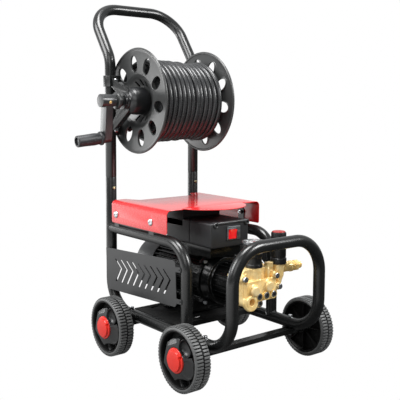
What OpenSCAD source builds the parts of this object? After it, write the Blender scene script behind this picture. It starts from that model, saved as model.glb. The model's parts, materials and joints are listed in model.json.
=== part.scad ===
// Electric pressure washer on a four-wheeled tube cart, with a hose reel between the handle posts.
// Millimetres. +Z up, floor at z = 0, pump at -Y, crank at -X.

/* [Frame] */
// Outside diameter of the frame tube
tube_d = 34; // [28:1:40]
// Distance between the centre lines of the two posts
post_gap = 328; // [310:1:350]
// Distance of the posts behind the wheelbase's middle
post_y = 303; // [290:1:320]
// Distance of the front hoop ahead of the wheelbase's middle
hoop_y = 297; // [285:1:315]
// Height of the front hoop's top centre line
hoop_z = 390; // [370:1:430]
// Height of the bottom rails' centre line
rail_z = 114; // [112:1:124]
// Centre line radius of the tube bends
bend_r = 98; // [85:1:102]
// Distance of the side loops' front legs ahead of the wheelbase's middle
leg_y = 100; // [90:1:115]
// Height of the side loops' top rails
loop_z = 373; // [365:1:380]
// Centre line radius of the side loops' bend
loop_r = 80; // [60:1:95]
// Outside diameter of the side loops' tube
loop_d = 33; // [27:1:33]

/* [Handle] */
// Height of the seam where the handle plugs into the lower posts
seam_z = 535; // [520:1:560]
// Depth of the handle's spigot in the lower post
spigot_len = 75; // [60:1:90]
// Radial play of the spigot
spigot_play = 0.2; // [0.1:0.05:0.4]
// Wall of the lower post around the spigot
post_wall = 2; // [1.5:0.1:3]
// Height above the reel's axis at which the handle starts to lean back
lean_gap = 107; // [95:1:125]
// Angle that the handle leans back
lean_a = 35; // [25:1:45]
// Bend radius of the lean
lean_r = 80; // [60:1:100]
// Length of the leaning part up to the grip bar's centre line
lean_len = 183; // [160:1:210]
// Diameter of the snap buttons
snap_d = 9.6; // [8:0.1:11]
// Distance of the snap buttons below the seam
snap_drop = 34; // [25:1:45]
// Height that a snap button stands proud
snap_out = 4; // [3:0.1:6]

/* [Wheels] */
// Tyre diameter
wheel_d = 180; // [170:1:190]
// Tyre width
wheel_w = 48; // [40:1:56]
// Distance between front and rear axles
wheelbase = 368; // [340:1:390]
// Distance between the wheels' middle planes
track = 473; // [465:1:490]
// Rim diameter inside the tyre
rim_d = 156; // [146:1:160]
// Diameter of the axle pin
pin_d = 14; // [12:0.5:18]
// Radial running clearance of the hub on its pin
hub_play = 0.05; // [0.02:0.01:0.1]
// Number of tread bars round the tyre
tread_count = 60; // [44:2:66]
// Depth of the tread
tread_depth = 3; // [2:0.5:5]
// Width of the centre groove
groove_w = 5; // [3:0.5:8]
// Diameter of the hub cap
cap_d = 68; // [60:1:72]

/* [Base] */
// Thickness of the base plate
base_t = 3; // [2:0.5:5]
// Rear edge of the base plate behind the wheelbase's middle
base_back = 184; // [170:1:195]
// Front edge of the base plate ahead of the wheelbase's middle
base_front = 42; // [35:1:60]
// Height of the base plate's folded lips
base_lip = 15; // [10:1:22]
// Depth of the axle beams along Y
beam_w = 28; // [24:1:34]
// Diameter of the axle bolts
axle_bolt_d = 8; // [6:1:10]

/* [Panels] */
// Height of the side panels
panel_h = 133; // [120:1:140]
// Thickness of the side panels
panel_t = 2; // [1.5:0.1:3]
// Height of the side panels' lower rear corner
panel_z = 176; // [168:1:184]
// Angle that the side panels rise towards the front
panel_rake = 3; // [0:0.5:4]
// Number of chevron slots in each panel
slot_count = 9; // [5:1:9]
// Distance between chevron slots
slot_pitch = 32.6; // [28:0.1:33]
// Width of a chevron slot
slot_w = 8; // [5:0.5:10]

/* [Hood] */
// Width over the hood's skirts
hood_w = 358; // [350:1:366]
// Height of the hood's top
hood_z = 464; // [455:1:475]
// Thickness of the hood sheet
hood_t = 2; // [1.5:0.1:3]
// Outside radius of the hood's bends
hood_r = 14; // [8:1:20]
// Height of the skirts
hood_skirt = 70; // [60:1:72]
// Front edge of the skirts ahead of the wheelbase's middle
hood_front = 24; // [10:1:40]
// Rear edge of the skirts behind the wheelbase's middle
hood_back = 275; // [260:1:280]
// Radius of the hood's front tongue
tongue_r = 118; // [100:1:122]
// Reach of the front tongue ahead of the skirts
tongue_reach = 79; // [60:1:90]
// Depth of the step in the hood's rear edge
hood_step = 48; // [30:1:60]

/* [Motor] */
// Height of the motor's axis
motor_z = 245; // [240:1:250]
// Diameter over the motor's fins
motor_d = 166; // [156:1:170]
// Height of the fins
fin_h = 8; // [5:0.5:12]
// Number of fins round the motor
fin_count = 40; // [24:2:48]
// Front end of the finned body ahead of the wheelbase's middle
motor_front = 38; // [30:1:44]
// Rear end of the finned body behind the wheelbase's middle
motor_back = 200; // [190:1:206]
// Diameter of the fan cowl
cowl_d = 170; // [164:1:176]
// Rear face of the fan cowl behind the wheelbase's middle
cowl_back = 284; // [276:1:285]
// Wall of the fan cowl
cowl_t = 2; // [1.5:0.5:3]
// Diameter of the motor's rear shaft
shaft_d = 16; // [12:1:20]
// Number of fan blades
blade_count = 7; // [5:1:9]
// Outside diameter of the adapter ring between motor and pump
ring_d = 144; // [136:1:150]
// Rear face of the adapter ring ahead of the wheelbase's middle
ring_y = 72; // [68:1:78]

/* [Control box] */
// Width of the control box
box_w = 144; // [130:1:156]
// Front face of the control box ahead of the wheelbase's middle
box_front = 93; // [86:1:98]
// Rear face of the control box behind the wheelbase's middle
box_back = 120; // [90:1:135]
// Height of the control box's underside
box_z = 350; // [345:1:356]
// Height of the control box
box_h = 75; // [66:1:84]
// Width of the switch plate
switch_w = 51; // [46:1:56]
// Height of the switch plate
switch_h = 41; // [37:1:46]
// Width of the rocker
rocker_w = 31; // [26:1:33]
// Height of the rocker
rocker_h = 29; // [25:1:32]
// Tilt of the rocker to either side
rocker_a = 8; // [5:1:10]

/* [Pump] */
// Front face of the pump head ahead of the wheelbase's middle
head_front = 236; // [230:1:240]
// Depth of the pump head
head_t = 62; // [54:1:68]
// Width of the pump head
head_w = 118; // [110:1:126]
// Bottom of the pump head
head_z = 218; // [214:1:222]
// Height of the pump head
head_h = 92; // [86:1:98]
// Distance between the socket plugs
plug_pitch = 27.5; // [25:0.5:29]
// Distance between the domed valve caps
cap_pitch = 51; // [46:1:54]
// Distance of the regulator's axis from the centre plane
reg_x = 73; // [70:1:78]
// Diameter of the regulator knob
knob_d = 42; // [36:1:46]
// Height of the regulator knob
knob_h = 94; // [80:1:100]
// Diameter of the outlet's male thread
outlet_d = 22; // [20:1:24]
// Length of the outlet's male thread
outlet_len = 14; // [10:1:18]
// Diameter of the water inlet's bore
inlet_d = 20; // [16:1:22]
// Diameter of the pressure gauge
gauge_d = 60; // [50:1:64]
// Height of the gauge's face
gauge_z = 385; // [378:1:392]

/* [Reel] */
// Height of the reel's axis
reel_z = 776; // [770:1:782]
// Distance of the reel's axis ahead of the posts
reel_fore = 112; // [105:1:118]
// Diameter of the reel's flanges
flange_d = 324; // [310:1:334]
// Thickness of the flanges
flange_t = 3; // [2:0.5:4]
// Rim thickness of the flanges
rim_t = 8; // [6:0.5:10]
// Crank-side flange's distance from the centre plane
flange_near = 139; // [132:1:140]
// Far flange's distance from the centre plane
flange_far = 118; // [112:1:124]
// Number of holes in each flange
hole_count = 10; // [6:1:12]
// Distance of the flange holes from the axis
hole_ring = 114; // [108:1:118]
// Radial length of a flange hole
hole_len = 52; // [44:1:56]
// Width of a flange hole
hole_w = 34; // [28:1:38]
// Diameter of the drum that the hose lies on
drum_d = 168; // [150:1:172]
// Diameter of the hose
hose_d = 15; // [12:0.5:16]
// Number of hose turns side by side
hose_turns = 13; // [8:1:13]
// Diameter of the reel shaft
reel_shaft_d = 30; // [24:1:32]
// Radial running clearance of the reel shaft
reel_play = 0.06; // [0.02:0.01:0.1]
// Diameter of the bearing bells
bell_d = 84; // [74:1:92]
// Distance from the reel's axis up to the upper clamps
clamp_up = 62; // [56:1:70]
// Distance from the reel's axis down to the lower clamps
clamp_down = 90; // [80:1:100]
// Height of a bracket clamp
clamp_h = 34; // [28:1:38]

/* [Crank] */
// Distance from the reel's axis to the grip's axis
crank_len = 116; // [100:1:130]
// Width of the crank arm
arm_w = 32; // [26:1:36]
// Thickness of the crank arm
arm_t = 24; // [18:1:28]
// Diameter of the crank's hub
crank_hub_d = 39; // [36:1:44]
// Outer end of the crank's hub from the centre plane
hub_end = 266; // [258:1:272]
// Angle of the crank behind straight down
crank_rest = 15; // [0:1:30]
// Inward lean of the crank arm
crank_lean = 6; // [0:1:8]
// Length of the crank grip
grip_len = 86; // [76:1:100]
// Diameter of the grip at the arm
grip_d1 = 42; // [36:1:44]
// Diameter of the grip at its free end
grip_d2 = 35; // [30:1:40]
// Diameter of the grip's pin
grip_pin_d = 12; // [10:0.5:14]
// Radial running clearance of the grip
grip_play = 0.08; // [0.02:0.01:0.1]

/* [Hidden] */
$fn = 48;
eps = 0.01;

// Frame
tube_r = tube_d / 2;
lean_z = reel_z + lean_gap;
px = post_gap / 2;
wheel_r = wheel_d / 2;
axle_y = wheelbase / 2;
lean_y = lean_r * (1 - cos(lean_a)) + lean_len * sin(lean_a);
lean_up = lean_r * sin(lean_a) + lean_len * cos(lean_a);
handle_back = post_y + lean_y + tube_r;
hoop_front = hoop_y + tube_r;
rail_top = rail_z + tube_r;
beam_h = 2 * (rail_z - tube_r - wheel_r);
spigot_r = tube_r - post_wall - spigot_play;
snap_z = seam_z - snap_drop;
snap_play = 0.3;
snap_travel = 5;
snap_len = 14;
bolt_play = 0.25;

// Wheels
wheel_x = track / 2;
hub_w = 44;
hub_boss_d = 36;
hub_boss_in = 6;
rim_wall = 5;
seat_gap = 0.3;
cap_seat = 21;
wheel_reach = wheel_x + cap_seat + 15.5;
bowl_at = cap_d / 2 + 24;
lobe_turn = 8;
lobe_face = wheel_w / 2 + 4;
lobe_out = rim_d / 2 - 20;
pin_end = wheel_x + cap_seat - 1;
beam_end = wheel_x - hub_w / 2 - hub_boss_in - 1;

// Reel
reel_y = post_y - reel_fore;
bracket_x = px + tube_r + 1;
flange_r = flange_d / 2;
drum_r = drum_d / 2;
dish_in = 46;
cone_r = 78;
dish_flat = 5;
hole_phase = 98.4;
bell_far_x = 176;
reel_port_r = 7.5;
dish_depth = 28;
turn_r = 120;
coil_l = -flange_near + 18;
coil_r = flange_far - 18;
coil_pitch = (coil_r - coil_l - hose_d) / (hose_turns - 1);
bell_neck_x = 192;
bell_mouth = flange_near - 22;
bracket_w = 18;
bracket_out = 176;
shaft_r = reel_shaft_d / 2;
clamp_w = tube_d + 10;
hub_in = 217;
disc_d = 52;

// Crank and grip
grip_tip = grip_len + 0.5;
grub_d = 9;
crank_reach = hub_end - arm_t - crank_len * sin(crank_lean) + (grip_tip + arm_t / 2) * cos(crank_lean)
  + (grip_d2 / 2 - 2) * sin(crank_lean);

// Place of the wheelbase's middle, so that the origin is under the middle of the whole machine
mid_x = (crank_reach - wheel_reach) / 2;
mid_y = (hoop_front - handle_back) / 2;

// Motor and pump
motor_r = motor_d / 2;
cowl_r = cowl_d / 2;
head_y = head_front - head_t;
head_x = -3;
reg_y = head_front - 14;
reg_r = 16;
reg_z = head_z + 81;
reg_top = head_z + head_h + 3;
stem_r = 8;
oil_r = 6;
oil_y = (ring_y + head_y) / 2;
stem_play = 0.06;
outlet_r = 12;
lower_x = -12.6;
lower_z = head_z - 5;
inlet_x = -44;
inlet_z = head_z + 4;
ear_at = [[head_x - head_w / 2 - 6, head_z + head_h - 21], [head_x + head_w / 2 + 6, head_z + 33], [head_x + head_w / 2 - 6, head_z + 66]];
plug_at = [for (i = [0 : 3]) i < 3 ? [head_x - 13.3 + i * plug_pitch, head_z + 15] : [lower_x, lower_z]];
motor_foot_w = 118;
foot_ys = [35, 128];
foot_bolt_d = 8;
shaft_play = 0.06;
gauge_x = -8;
gauge_y = head_front - 30;
pointer_r = 1.5;
pointer_play = 0.05;
pointer_rest = 225;
switch_x = 12;
switch_z = box_z + box_h - 14 - switch_h / 2;
boss_xs = [-box_w / 2 + 18, box_w / 2 - 8.3];
chev_up = 28;
chev_down = 44;
chev_z = 74;
chev_y = 88;
tongue_root = sqrt(pow(tongue_r, 2) - pow(tongue_r - tongue_reach, 2));

module place() { translate([mid_x, mid_y, 0]) children(); }
module both_sides() { children(); mirror([1, 0, 0]) children(); }

// A straight tube along +Z, with what follows at its end
module run(l, r) { cylinder(h = l, r = r); translate([0, 0, l]) children(); }

// A tube bend from +Z towards +X, with what follows at its end
module turn(rad, a, r) {
  translate([rad, 0, 0]) rotate([90, 0, 0]) rotate([0, 0, 180 - a]) rotate_extrude(angle = a) translate([rad, 0]) circle(r = r);
  translate([rad, 0, 0]) rotate([0, a, 0]) translate([-rad, 0, 0]) children();
}

module rrect(w, h, r) {
  square([w - 2 * r, h], center = true);
  square([w, h - 2 * r], center = true);
  for (x = [-1, 1], y = [-1, 1]) translate([x * (w / 2 - r), y * (h / 2 - r)]) circle(r = r);
}

module slot2d(l, w) {
  square([l - w, w], center = true);
  for (x = [-1, 1]) translate([x * (l - w) / 2, 0]) circle(d = w);
}

module along_y() { rotate([90, 0, 0]) children(); }
module along_x() { rotate([0, 90, 0]) children(); }

// Tyres, hubs and caps are drawn with the outer face towards +X and the axle at the origin

// Outline of one tread row: bars standing on the tread's floor
module tread2d() {
  n = tread_count;
  rf = wheel_r - tread_depth - 0.6;
  bar = 360 / n * 0.6;
  polygon([for (i = [0 : n - 1], k = [[0, rf], [0.08, wheel_r], [0.92, wheel_r], [1, rf]])
    [k[1] * cos(i * 360 / n + k[0] * bar), k[1] * sin(i * 360 / n + k[0] * bar)]]);
}

module tyre() {
  row_w = (wheel_w - groove_w) / 2 - 3;
  lip = wheel_w / 2;
  rf = wheel_r - tread_depth;
  along_x() {
    rotate_extrude() polygon([
      [rim_d / 2, -lip + 4], [rim_d / 2 + 2, -lip], [wheel_r - 6, -lip], [rf - 1, -lip + 3], [rf, -lip + 5],
      [rf, lip - 5], [rf - 1, lip - 3], [wheel_r - 6, lip], [rim_d / 2 + 2, lip], [rim_d / 2, lip - 4]]);
    for (k = [0, 1]) translate([0, 0, k == 0 ? groove_w / 2 : -groove_w / 2 - row_w]) linear_extrude(row_w) difference() {
      rotate(k * 180 / tread_count) tread2d();
      circle(r = rf - 3);
    }
  }
}

// Outline of the hub's square block with three bowls in its sides
module lobes2d() {
  difference() {
    polygon([for (i = [0 : 3], d = [-7, 7]) let(a = lobe_turn + 90 * i + d) [lobe_out * cos(a), lobe_out * sin(a)]]);
    for (a = [148, 232, 328]) rotate(a) translate([bowl_at, 0]) circle(r = 21);
  }
}

module hub() {
  ro = rim_d / 2 - seat_gap;
  along_x() difference() {
    union() {
      // barrel under the tyre
      rotate_extrude() polygon([[ro - rim_wall, -hub_w / 2], [ro, -hub_w / 2], [ro, hub_w / 2], [ro - rim_wall + 2, hub_w / 2], [ro - rim_wall, hub_w / 2 - 2]]);
      // web between barrel and boss
      translate([0, 0, -6]) cylinder(h = 4, r = ro - rim_wall + 1);
      translate([0, 0, -hub_w / 2 - hub_boss_in]) cylinder(h = hub_w / 2 + hub_boss_in, d = hub_boss_d);
      translate([0, 0, -4]) linear_extrude(lobe_face + 4) lobes2d();
      // ribs on the inner side
      for (i = [0 : 7]) rotate(45 * i) translate([hub_boss_d / 2 - 3, -1, -hub_w / 2 + 5]) cube([ro - rim_wall - hub_boss_d / 2 + 4, 2, hub_w / 2 - 8]);
    }
    // recess for the cap, and the bore
    translate([0, 0, cap_seat]) cylinder(h = hub_w, d = cap_d + 2 * seat_gap);
    translate([0, 0, -hub_w]) cylinder(h = 2 * hub_w, r = pin_d / 2 + hub_play);
  }
}

module hub_cap() {
  cr = cap_d / 2;
  along_x() difference() {
    translate([0, 0, cap_seat]) rotate_extrude() polygon([[0, 0], [cr, 0], [cr, 8.5], [cr - 1.5, 10], [cr - 6, 10], [cr - 6, 14], [cr - 7.5, 15.5], [0, 15.5]]);
    for (a = [60, 240]) rotate(a) translate([cr - 7, -3, cap_seat + 6]) cube([9, 6, 9.8]);
  }
}

// sx: -1 for the crank side, 1 for the far side; sy: -1 for the front axle, 1 for the rear
module wheel_at(sx, sy) {
  place() translate([sx * wheel_x, sy * axle_y, wheel_r]) {
    if (sx < 0) mirror([1, 0, 0]) children();
    else children();
  }
}

module tyre_col() { color("#1c1c1e") children(); }
module hub_col() { color("#3a3b3e") children(); }
module cap_col() { color("#d8262c") children(); }

// Frame

module half_tube() {
  translate([0, -hoop_y, hoop_z]) rotate([0, -90, 0])
    run(px - bend_r, tube_r) rotate([0, 0, 180]) turn(bend_r, 90, tube_r) run(hoop_z - rail_z - 2 * bend_r, tube_r)
      rotate([0, 0, -90]) turn(bend_r, 90, tube_r) run(hoop_y + post_y - 2 * bend_r, tube_r)
        turn(bend_r, 90, tube_r) run(seam_z - rail_z - bend_r, tube_r);
}

module snap_axis(s) { translate([s * px, post_y, snap_z]) along_y() children(); }

module main_tube() {
  color("#242527") place() difference() {
    both_sides() half_tube();
    for (s = [-1, 1]) {
      translate([s * px, post_y, seam_z - spigot_len - 5]) cylinder(h = spigot_len + 6, r = tube_r - post_wall);
      snap_axis(s) cylinder(h = tube_d, d = snap_d + 2 * snap_play);
      for (t = [-1, 1]) translate([s * px, t * axle_y, rail_z - tube_d]) cylinder(h = 2 * tube_d, d = axle_bolt_d + 2 * bolt_play);
    }
  }
}

// One side loop on the crank side: leg on the rail, bend, top rail to the post, and two tabs for the hood
tab_w = 26;
tab_t = 3;
bolt_ys = [58, 250];
bolt_z = 421;
hood_bolt_d = 6;

module loop_side() {
  color("#242527") difference() {
    union() {
      translate([-px, -leg_y, rail_z]) rotate([0, 0, 90]) run(loop_z - rail_z - loop_r, loop_d / 2) turn(loop_r, 90, loop_d / 2) run(post_y + leg_y - loop_r, loop_d / 2);
      // tabs with their feet on the tube
      for (y = bolt_ys) translate([-hood_w / 2 + hood_t, y - tab_w / 2, loop_z + loop_d / 2 - 4]) {
        cube([tab_t, tab_w, bolt_z - loop_z - loop_d / 2 + 17]);
        cube([hood_w / 2 - hood_t - px, tab_w, tab_t]);
      }
    }
    // coped ends against the rail and the post
    translate([-px, 0, rail_z]) along_y() cylinder(h = 4 * hoop_y, r = tube_r, center = true);
    translate([-px, post_y, loop_z]) cylinder(h = 4 * tube_d, r = tube_r, center = true);
    for (y = bolt_ys) translate([-px, y, bolt_z]) along_x() cylinder(h = post_gap / 2, d = hood_bolt_d + 2 * bolt_play, center = true);
  }
}
module loop_left() { place() loop_side(); }
module loop_right() { place() mirror([1, 0, 0]) loop_side(); }

module handle_half() {
  translate([0, post_y + lean_y, lean_z + lean_up]) rotate([-lean_a, 0, 0]) rotate([0, -90, 0])
    run(px - bend_r, tube_r) rotate([0, 0, 180]) turn(bend_r, 90, tube_r) run(lean_len - bend_r, tube_r)
      rotate([0, 0, -90]) turn(lean_r, lean_a, tube_r) run(lean_z - seam_z, tube_r) run(spigot_len, spigot_r);
}

module handle_tube() {
  color("#242527") place() difference() {
    both_sides() handle_half();
    for (s = [-1, 1]) snap_axis(s) translate([0, 0, -spigot_r + 3]) cylinder(h = tube_d, d = snap_d + 2 * snap_play);
  }
}

module snap(s) {
  color("#cfc8b4") place() snap_axis(s) rotate_extrude() polygon(concat([[0, tube_r + snap_out - snap_len], [snap_d / 2, tube_r + snap_out - snap_len]],
    [for (a = [0 : 15 : 90]) [snap_d / 2 * cos(a), tube_r + snap_out - snap_d / 4 + snap_d / 4 * sin(a)]]));
}

module base_plate() {
  half = px - sqrt(tube_r * tube_r - pow(tube_r - base_t, 2));
  y0 = -base_front;
  len = base_back + base_front;
  color("#1d1e20") place() difference() {
    union() {
      translate([-half, y0, rail_top - base_t]) cube([2 * half, len, base_t]);
      for (y = [y0, base_back - base_t]) translate([-px + tube_r, y, rail_top - base_lip]) cube([post_gap - tube_d, base_t, base_lip]);
    }
    for (x = [-1, 1], k = [[px - 108, 31 - base_front], [px - 64, base_back - 29]]) translate([x * k[0], k[1], rail_top - 2 * base_t]) linear_extrude(4 * base_t) slot2d(26, 9);
    for (x = [-1, 1], y = foot_ys) translate([x * motor_foot_w / 2, y, rail_top]) cylinder(h = 4 * tube_d, d = foot_bolt_d + 2 * bolt_play, center = true);
  }
}

// One slot bent like an arrow head that points to the front, drawn with X up and Y to the front
module chevron2d() {
  w = slot_w / 2;
  polygon([[chev_up, -33 - w], [chev_up, -33 + w], [0, w], [-chev_down, -33 + w], [-chev_down, -33 - w], [0, -w]]);
}

module panel_side() {
  x_out = px + tube_r + panel_t + eps;
  len = post_y + leg_y - tube_r - 9;
  ears = [18, panel_h - 25];
  color("#4a4c4e") translate([-x_out, post_y - 4, panel_z]) rotate([-panel_rake, 0, 0]) along_x() linear_extrude(panel_t) difference() {
    // drawn with X down and Y to the rear
    polygon([[0, 0], [0, -len + 8], [-8, -len], [-ears[0] + 7, -len], [-ears[0] + 7, -len - 24], [-ears[0] - 7, -len - 24], [-ears[0] - 7, -len],
      [-ears[1] + 7, -len], [-ears[1] + 7, -len - 24], [-ears[1] - 7, -len - 24], [-ears[1] - 7, -len],
      [-panel_h + 8, -len], [-panel_h, -len + 8], [-panel_h, 0]]);
    for (i = [0 : slot_count - 1]) translate([-chev_z, -chev_y - i * slot_pitch]) rotate(180) chevron2d();
    for (h = ears) translate([-h, -len - 17]) circle(d = 5);
  }
}
module panel_left() { place() panel_side(); }
module panel_right() { place() mirror([1, 0, 0]) panel_side(); }

module hood() {
  hw = hood_w / 2;
  ri = hood_r - hood_t;
  step_in = hood_w / 2 - 75;
  step_out = hood_w / 2 - 49;
  cy = -hood_front - tongue_reach + tongue_r;
  color("#d3161c") place() difference() {
    intersection() {
      // bent section, pulled along Y
      translate([0, hood_back, 0]) along_y() linear_extrude(hood_back + hood_front + tongue_reach + 5) translate([0, hood_z]) difference() {
        union() {
          translate([-hw + hood_r, -hood_r]) square([hood_w - 2 * hood_r, hood_r]);
          translate([-hw, -hood_skirt]) square([hood_w, hood_skirt - hood_r]);
          for (s = [-1, 1]) translate([s * (hw - hood_r), -hood_r]) circle(r = hood_r);
        }
        translate([-hw + hood_t, -hood_skirt - 1]) square([hood_w - 2 * hood_t, hood_skirt - hood_r + 1]);
        translate([-hw + hood_r, -hood_r - 1]) square([hood_w - 2 * hood_r, hood_r - hood_t + 1]);
        for (s = [-1, 1]) translate([s * (hw - hood_r), -hood_r]) circle(r = ri);
      }
      // plan outline: skirts, tongue and stepped rear edge
      translate([0, 0, hood_z - hood_skirt - 5]) linear_extrude(hood_skirt + 10) union() {
        translate([-hw - 1, -hood_front]) square([hood_w + 2, hood_front + hood_back - hood_step]);
        for (s = [-1, 1]) scale([s, 1]) polygon([[hw + 1, 0], [hw + 1, hood_back], [step_out, hood_back], [step_in, hood_back - hood_step], [step_in, 0]]);
        translate([0, cy]) circle(r = tongue_r, $fn = 96);
      }
    }
    // relief slits beside the tongue
    for (s = [-1, 1]) translate([s * (tongue_root + 4), -hood_front, hood_z - 1]) linear_extrude(6, center = true) rotate(90) slot2d(24, 6);
    for (y = bolt_ys) translate([0, y, bolt_z]) along_x() cylinder(h = hood_w + 10, d = hood_bolt_d + 2 * bolt_play, center = true);
  }
}

module hood_bolts() {
  color("#c8c9cc") place() both_sides() for (y = bolt_ys) translate([-hood_w / 2, y, bolt_z]) along_x() {
    // truss head, shank and nut
    translate([0, 0, -5]) rotate_extrude() difference() {
      polygon([[0, 0.6], [6, 0], [9, 1.6], [11, 5], [0, 5]]);
      square([3, 2.6]);
    }
    cylinder(h = 16, d = hood_bolt_d);
    translate([0, 0, hood_t + tab_t + 0.1]) cylinder(h = 5, d = 11.5, $fn = 6);
  }
}

module axle(s) {
  color("#1f2022") place() translate([0, s * axle_y, wheel_r]) difference() {
    union() {
      cube([2 * beam_end, beam_w, beam_h], center = true);
      along_x() cylinder(h = 2 * pin_end, d = pin_d, center = true);
    }
    for (x = [-1, 1]) translate([x * px, 0, 0]) cylinder(h = 2 * beam_h, d = axle_bolt_d + 2 * bolt_play, center = true);
  }
}

module axle_bolts() {
  color("#b9bbbe") place() for (x = [-1, 1], y = [-1, 1]) translate([x * px, y * axle_y, 0]) {
    z0 = wheel_r - beam_h / 2;
    translate([0, 0, z0 - 9]) cylinder(h = rail_top - z0 + 12, d = axle_bolt_d);
    translate([0, 0, rail_top]) cylinder(h = 6, d = 14, $fn = 6);
    translate([0, 0, z0 - 6.6]) cylinder(h = 6.5, d = 14, $fn = 6);
  }
}

// Reel

module ring_holes() { for (i = [0 : hole_count - 1]) rotate(hole_phase + i * 360 / hole_count) translate([hole_ring, 0]) children(); }

// Distance of a flange's outer surface from the centre plane at radius r, outside the recess
function dish(r, at) = at - dish_flat + (r - cone_r) * dish_flat / (flange_r - rim_t / 2 - cone_r);

// Flange drawn with its rim in the plane z = 0 and the recess round its hub towards -Z
module flange() {
  fr = flange_r - rim_t / 2;
  color("#55575a") difference() {
    union() {
      rotate_extrude() polygon([[shaft_r, -dish_depth - flange_t], [dish_in, -dish_depth - flange_t], [cone_r, -dish_flat - flange_t], [fr, -flange_t], [fr, 0],
        [cone_r, -dish_flat], [dish_in, -dish_depth], [shaft_r, -dish_depth]]);
      rotate_extrude() translate([fr, -flange_t / 2]) circle(d = rim_t);
    }
    translate([0, 0, -dish_depth - 10]) linear_extrude(dish_depth + 25) {
      ring_holes() scale([hole_len / hole_w, 1]) circle(d = hole_w);
      // windows in the recess, above and below the shaft
      for (a = [0, 180], d = [-24, 0, 24]) rotate(a + d) translate([(dish_in + cone_r) / 2 - 5, 0]) square([18, 8], center = true);
    }
  }
}
module flange_left() { place() translate([-flange_near, reel_y, reel_z]) along_x() mirror([0, 0, 1]) flange(); }
module flange_right() { place() translate([flange_far, reel_y, reel_z]) along_x() flange(); }

module drum() {
  color("#3a3c3f") place() translate([0, reel_y, reel_z]) along_x() {
    // shaft with its collar and the hose port in its far end
    difference() {
      union() {
        translate([0, 0, -hub_in]) cylinder(h = hub_in + bell_far_x - 1, d = reel_shaft_d);
        translate([0, 0, -hub_in + 2]) rotate_extrude() polygon([[0, 0], [disc_d / 2 - 2, 0], [disc_d / 2, 2], [disc_d / 2, 9], [disc_d / 2 - 2, 11], [0, 11]]);
      }
      translate([0, 0, bell_far_x - 26]) cylinder(h = 30, r = reel_port_r);
    }
    // barrel that the hose lies on, its ends cut to the dished flanges
    rotate_extrude() polygon([[drum_r - 3, -dish(drum_r - 3, flange_near) + flange_t], [drum_r, -dish(drum_r, flange_near) + flange_t],
      [drum_r, dish(drum_r, flange_far) - flange_t], [drum_r - 3, dish(drum_r - 3, flange_far) - flange_t]]);
  }
}

// Wound hose, with its outermost turns side by side
module hose_coil() {
  color("#161617") place() translate([0, reel_y, reel_z]) along_x() {
    rotate_extrude() polygon([[drum_r, -dish(drum_r, flange_near) + flange_t + 1], [turn_r, coil_l], [turn_r, coil_r], [drum_r, dish(drum_r, flange_far) - flange_t - 1]]);
    for (i = [0 : hose_turns - 1]) rotate_extrude() translate([turn_r, coil_l + hose_d / 2 + i * coil_pitch]) circle(d = hose_d);
  }
}

// Outside of a bearing bell, its neck's end at -n and its mouth at the reel
module bell_solid(n, mouth) {
  r1 = bell_d / 2;
  along_x() rotate_extrude() polygon([[0, -n], [disc_d / 2, -n], [disc_d / 2, -n + 6], [disc_d / 2 - 3, -n + 8], [disc_d / 2 - 3, -n + 9],
    [disc_d / 2, -n + 11], [disc_d / 2, -n + 16], [r1 - 10, -n + 20], [r1 - 3, -n + 30], [r1, -n + 44], [r1, -mouth], [0, -mouth]]);
}

module bell_shell(n, mouth) {
  r1 = bell_d / 2;
  difference() {
    bell_solid(n, mouth);
    along_x() rotate_extrude() polygon([[0, -n - 1], [shaft_r + reel_play, -n - 1], [shaft_r + reel_play, -n + 28], [r1 - 16, -n + 28], [r1 - 9, -n + 33],
      [r1 - 3, -n + 46], [r1 - 3, -mouth + 1], [0, -mouth + 1]]);
  }
}

module reel_bells() {
  color("#232426") place() translate([0, reel_y, reel_z]) {
    bell_shell(bell_neck_x, bell_mouth);
    mirror([1, 0, 0]) bell_shell(bell_far_x, bell_mouth);
  }
}

// Bracket in the plane of the side: two arms from the post to the bell
module bracket(n) {
  color("#202123") difference() {
    union() {
      translate([-bracket_out, 0, 0]) along_x() linear_extrude(bracket_w) {
        // drawn with X down and Y to the rear, about the reel's axis
        for (k = [-clamp_up, clamp_down]) let(s = sign(k)) polygon([[s * 8, -24], [s * 32, -10], [k + s * 14, reel_fore - tube_r], [k - s * 12, reel_fore - tube_r], [s * 6, 24]]);
      }
      // clamps round the post
      for (k = [clamp_up, -clamp_down]) translate([-px, reel_fore, k]) {
        translate([0, 0, -clamp_h / 2]) cylinder(h = clamp_h, d = clamp_w);
        translate([-tube_r - 2, -tube_r - 13, -clamp_h / 2]) cube([tube_d + 4, 24, clamp_h]);
      }
    }
    translate([-px, reel_fore, -reel_z / 3]) cylinder(h = reel_z, r = tube_r);
    bell_solid(n, bell_mouth);
    // room for the heads of the clamp bolts
    for (k = [clamp_up, -clamp_down]) translate([-px, reel_fore - tube_r - 13, k]) along_y() cylinder(h = 30, r = 9);
  }
}
module bracket_left() { place() translate([0, reel_y, reel_z]) bracket(bell_neck_x); }
module bracket_right() { place() translate([0, reel_y, reel_z]) mirror([1, 0, 0]) bracket(bell_far_x); }

module clamp_bolts() {
  color("#c8c9cc") place() both_sides() for (k = [clamp_up, -clamp_down]) translate([-px, post_y - tube_r - 13, reel_z + k]) along_y() {
    rotate_extrude() difference() {
      polygon([[0, 0], [8, 0], [8, 4], [6, 7], [0, 7.5]]);
      translate([0, 4.5]) square([3, 4]);
    }
  }
}

// Crank, drawn about the reel's axis with the arm straight down
module crank_frame() {
  place() translate([-hub_end + arm_t, reel_y, reel_z]) rotate([crank_rest, 0, 0]) rotate([0, -crank_lean, 0]) children();
}
module crank_hub_frame() {
  place() translate([-hub_end + arm_t, reel_y, reel_z]) rotate([crank_rest, 0, 0]) children();
}

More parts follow.
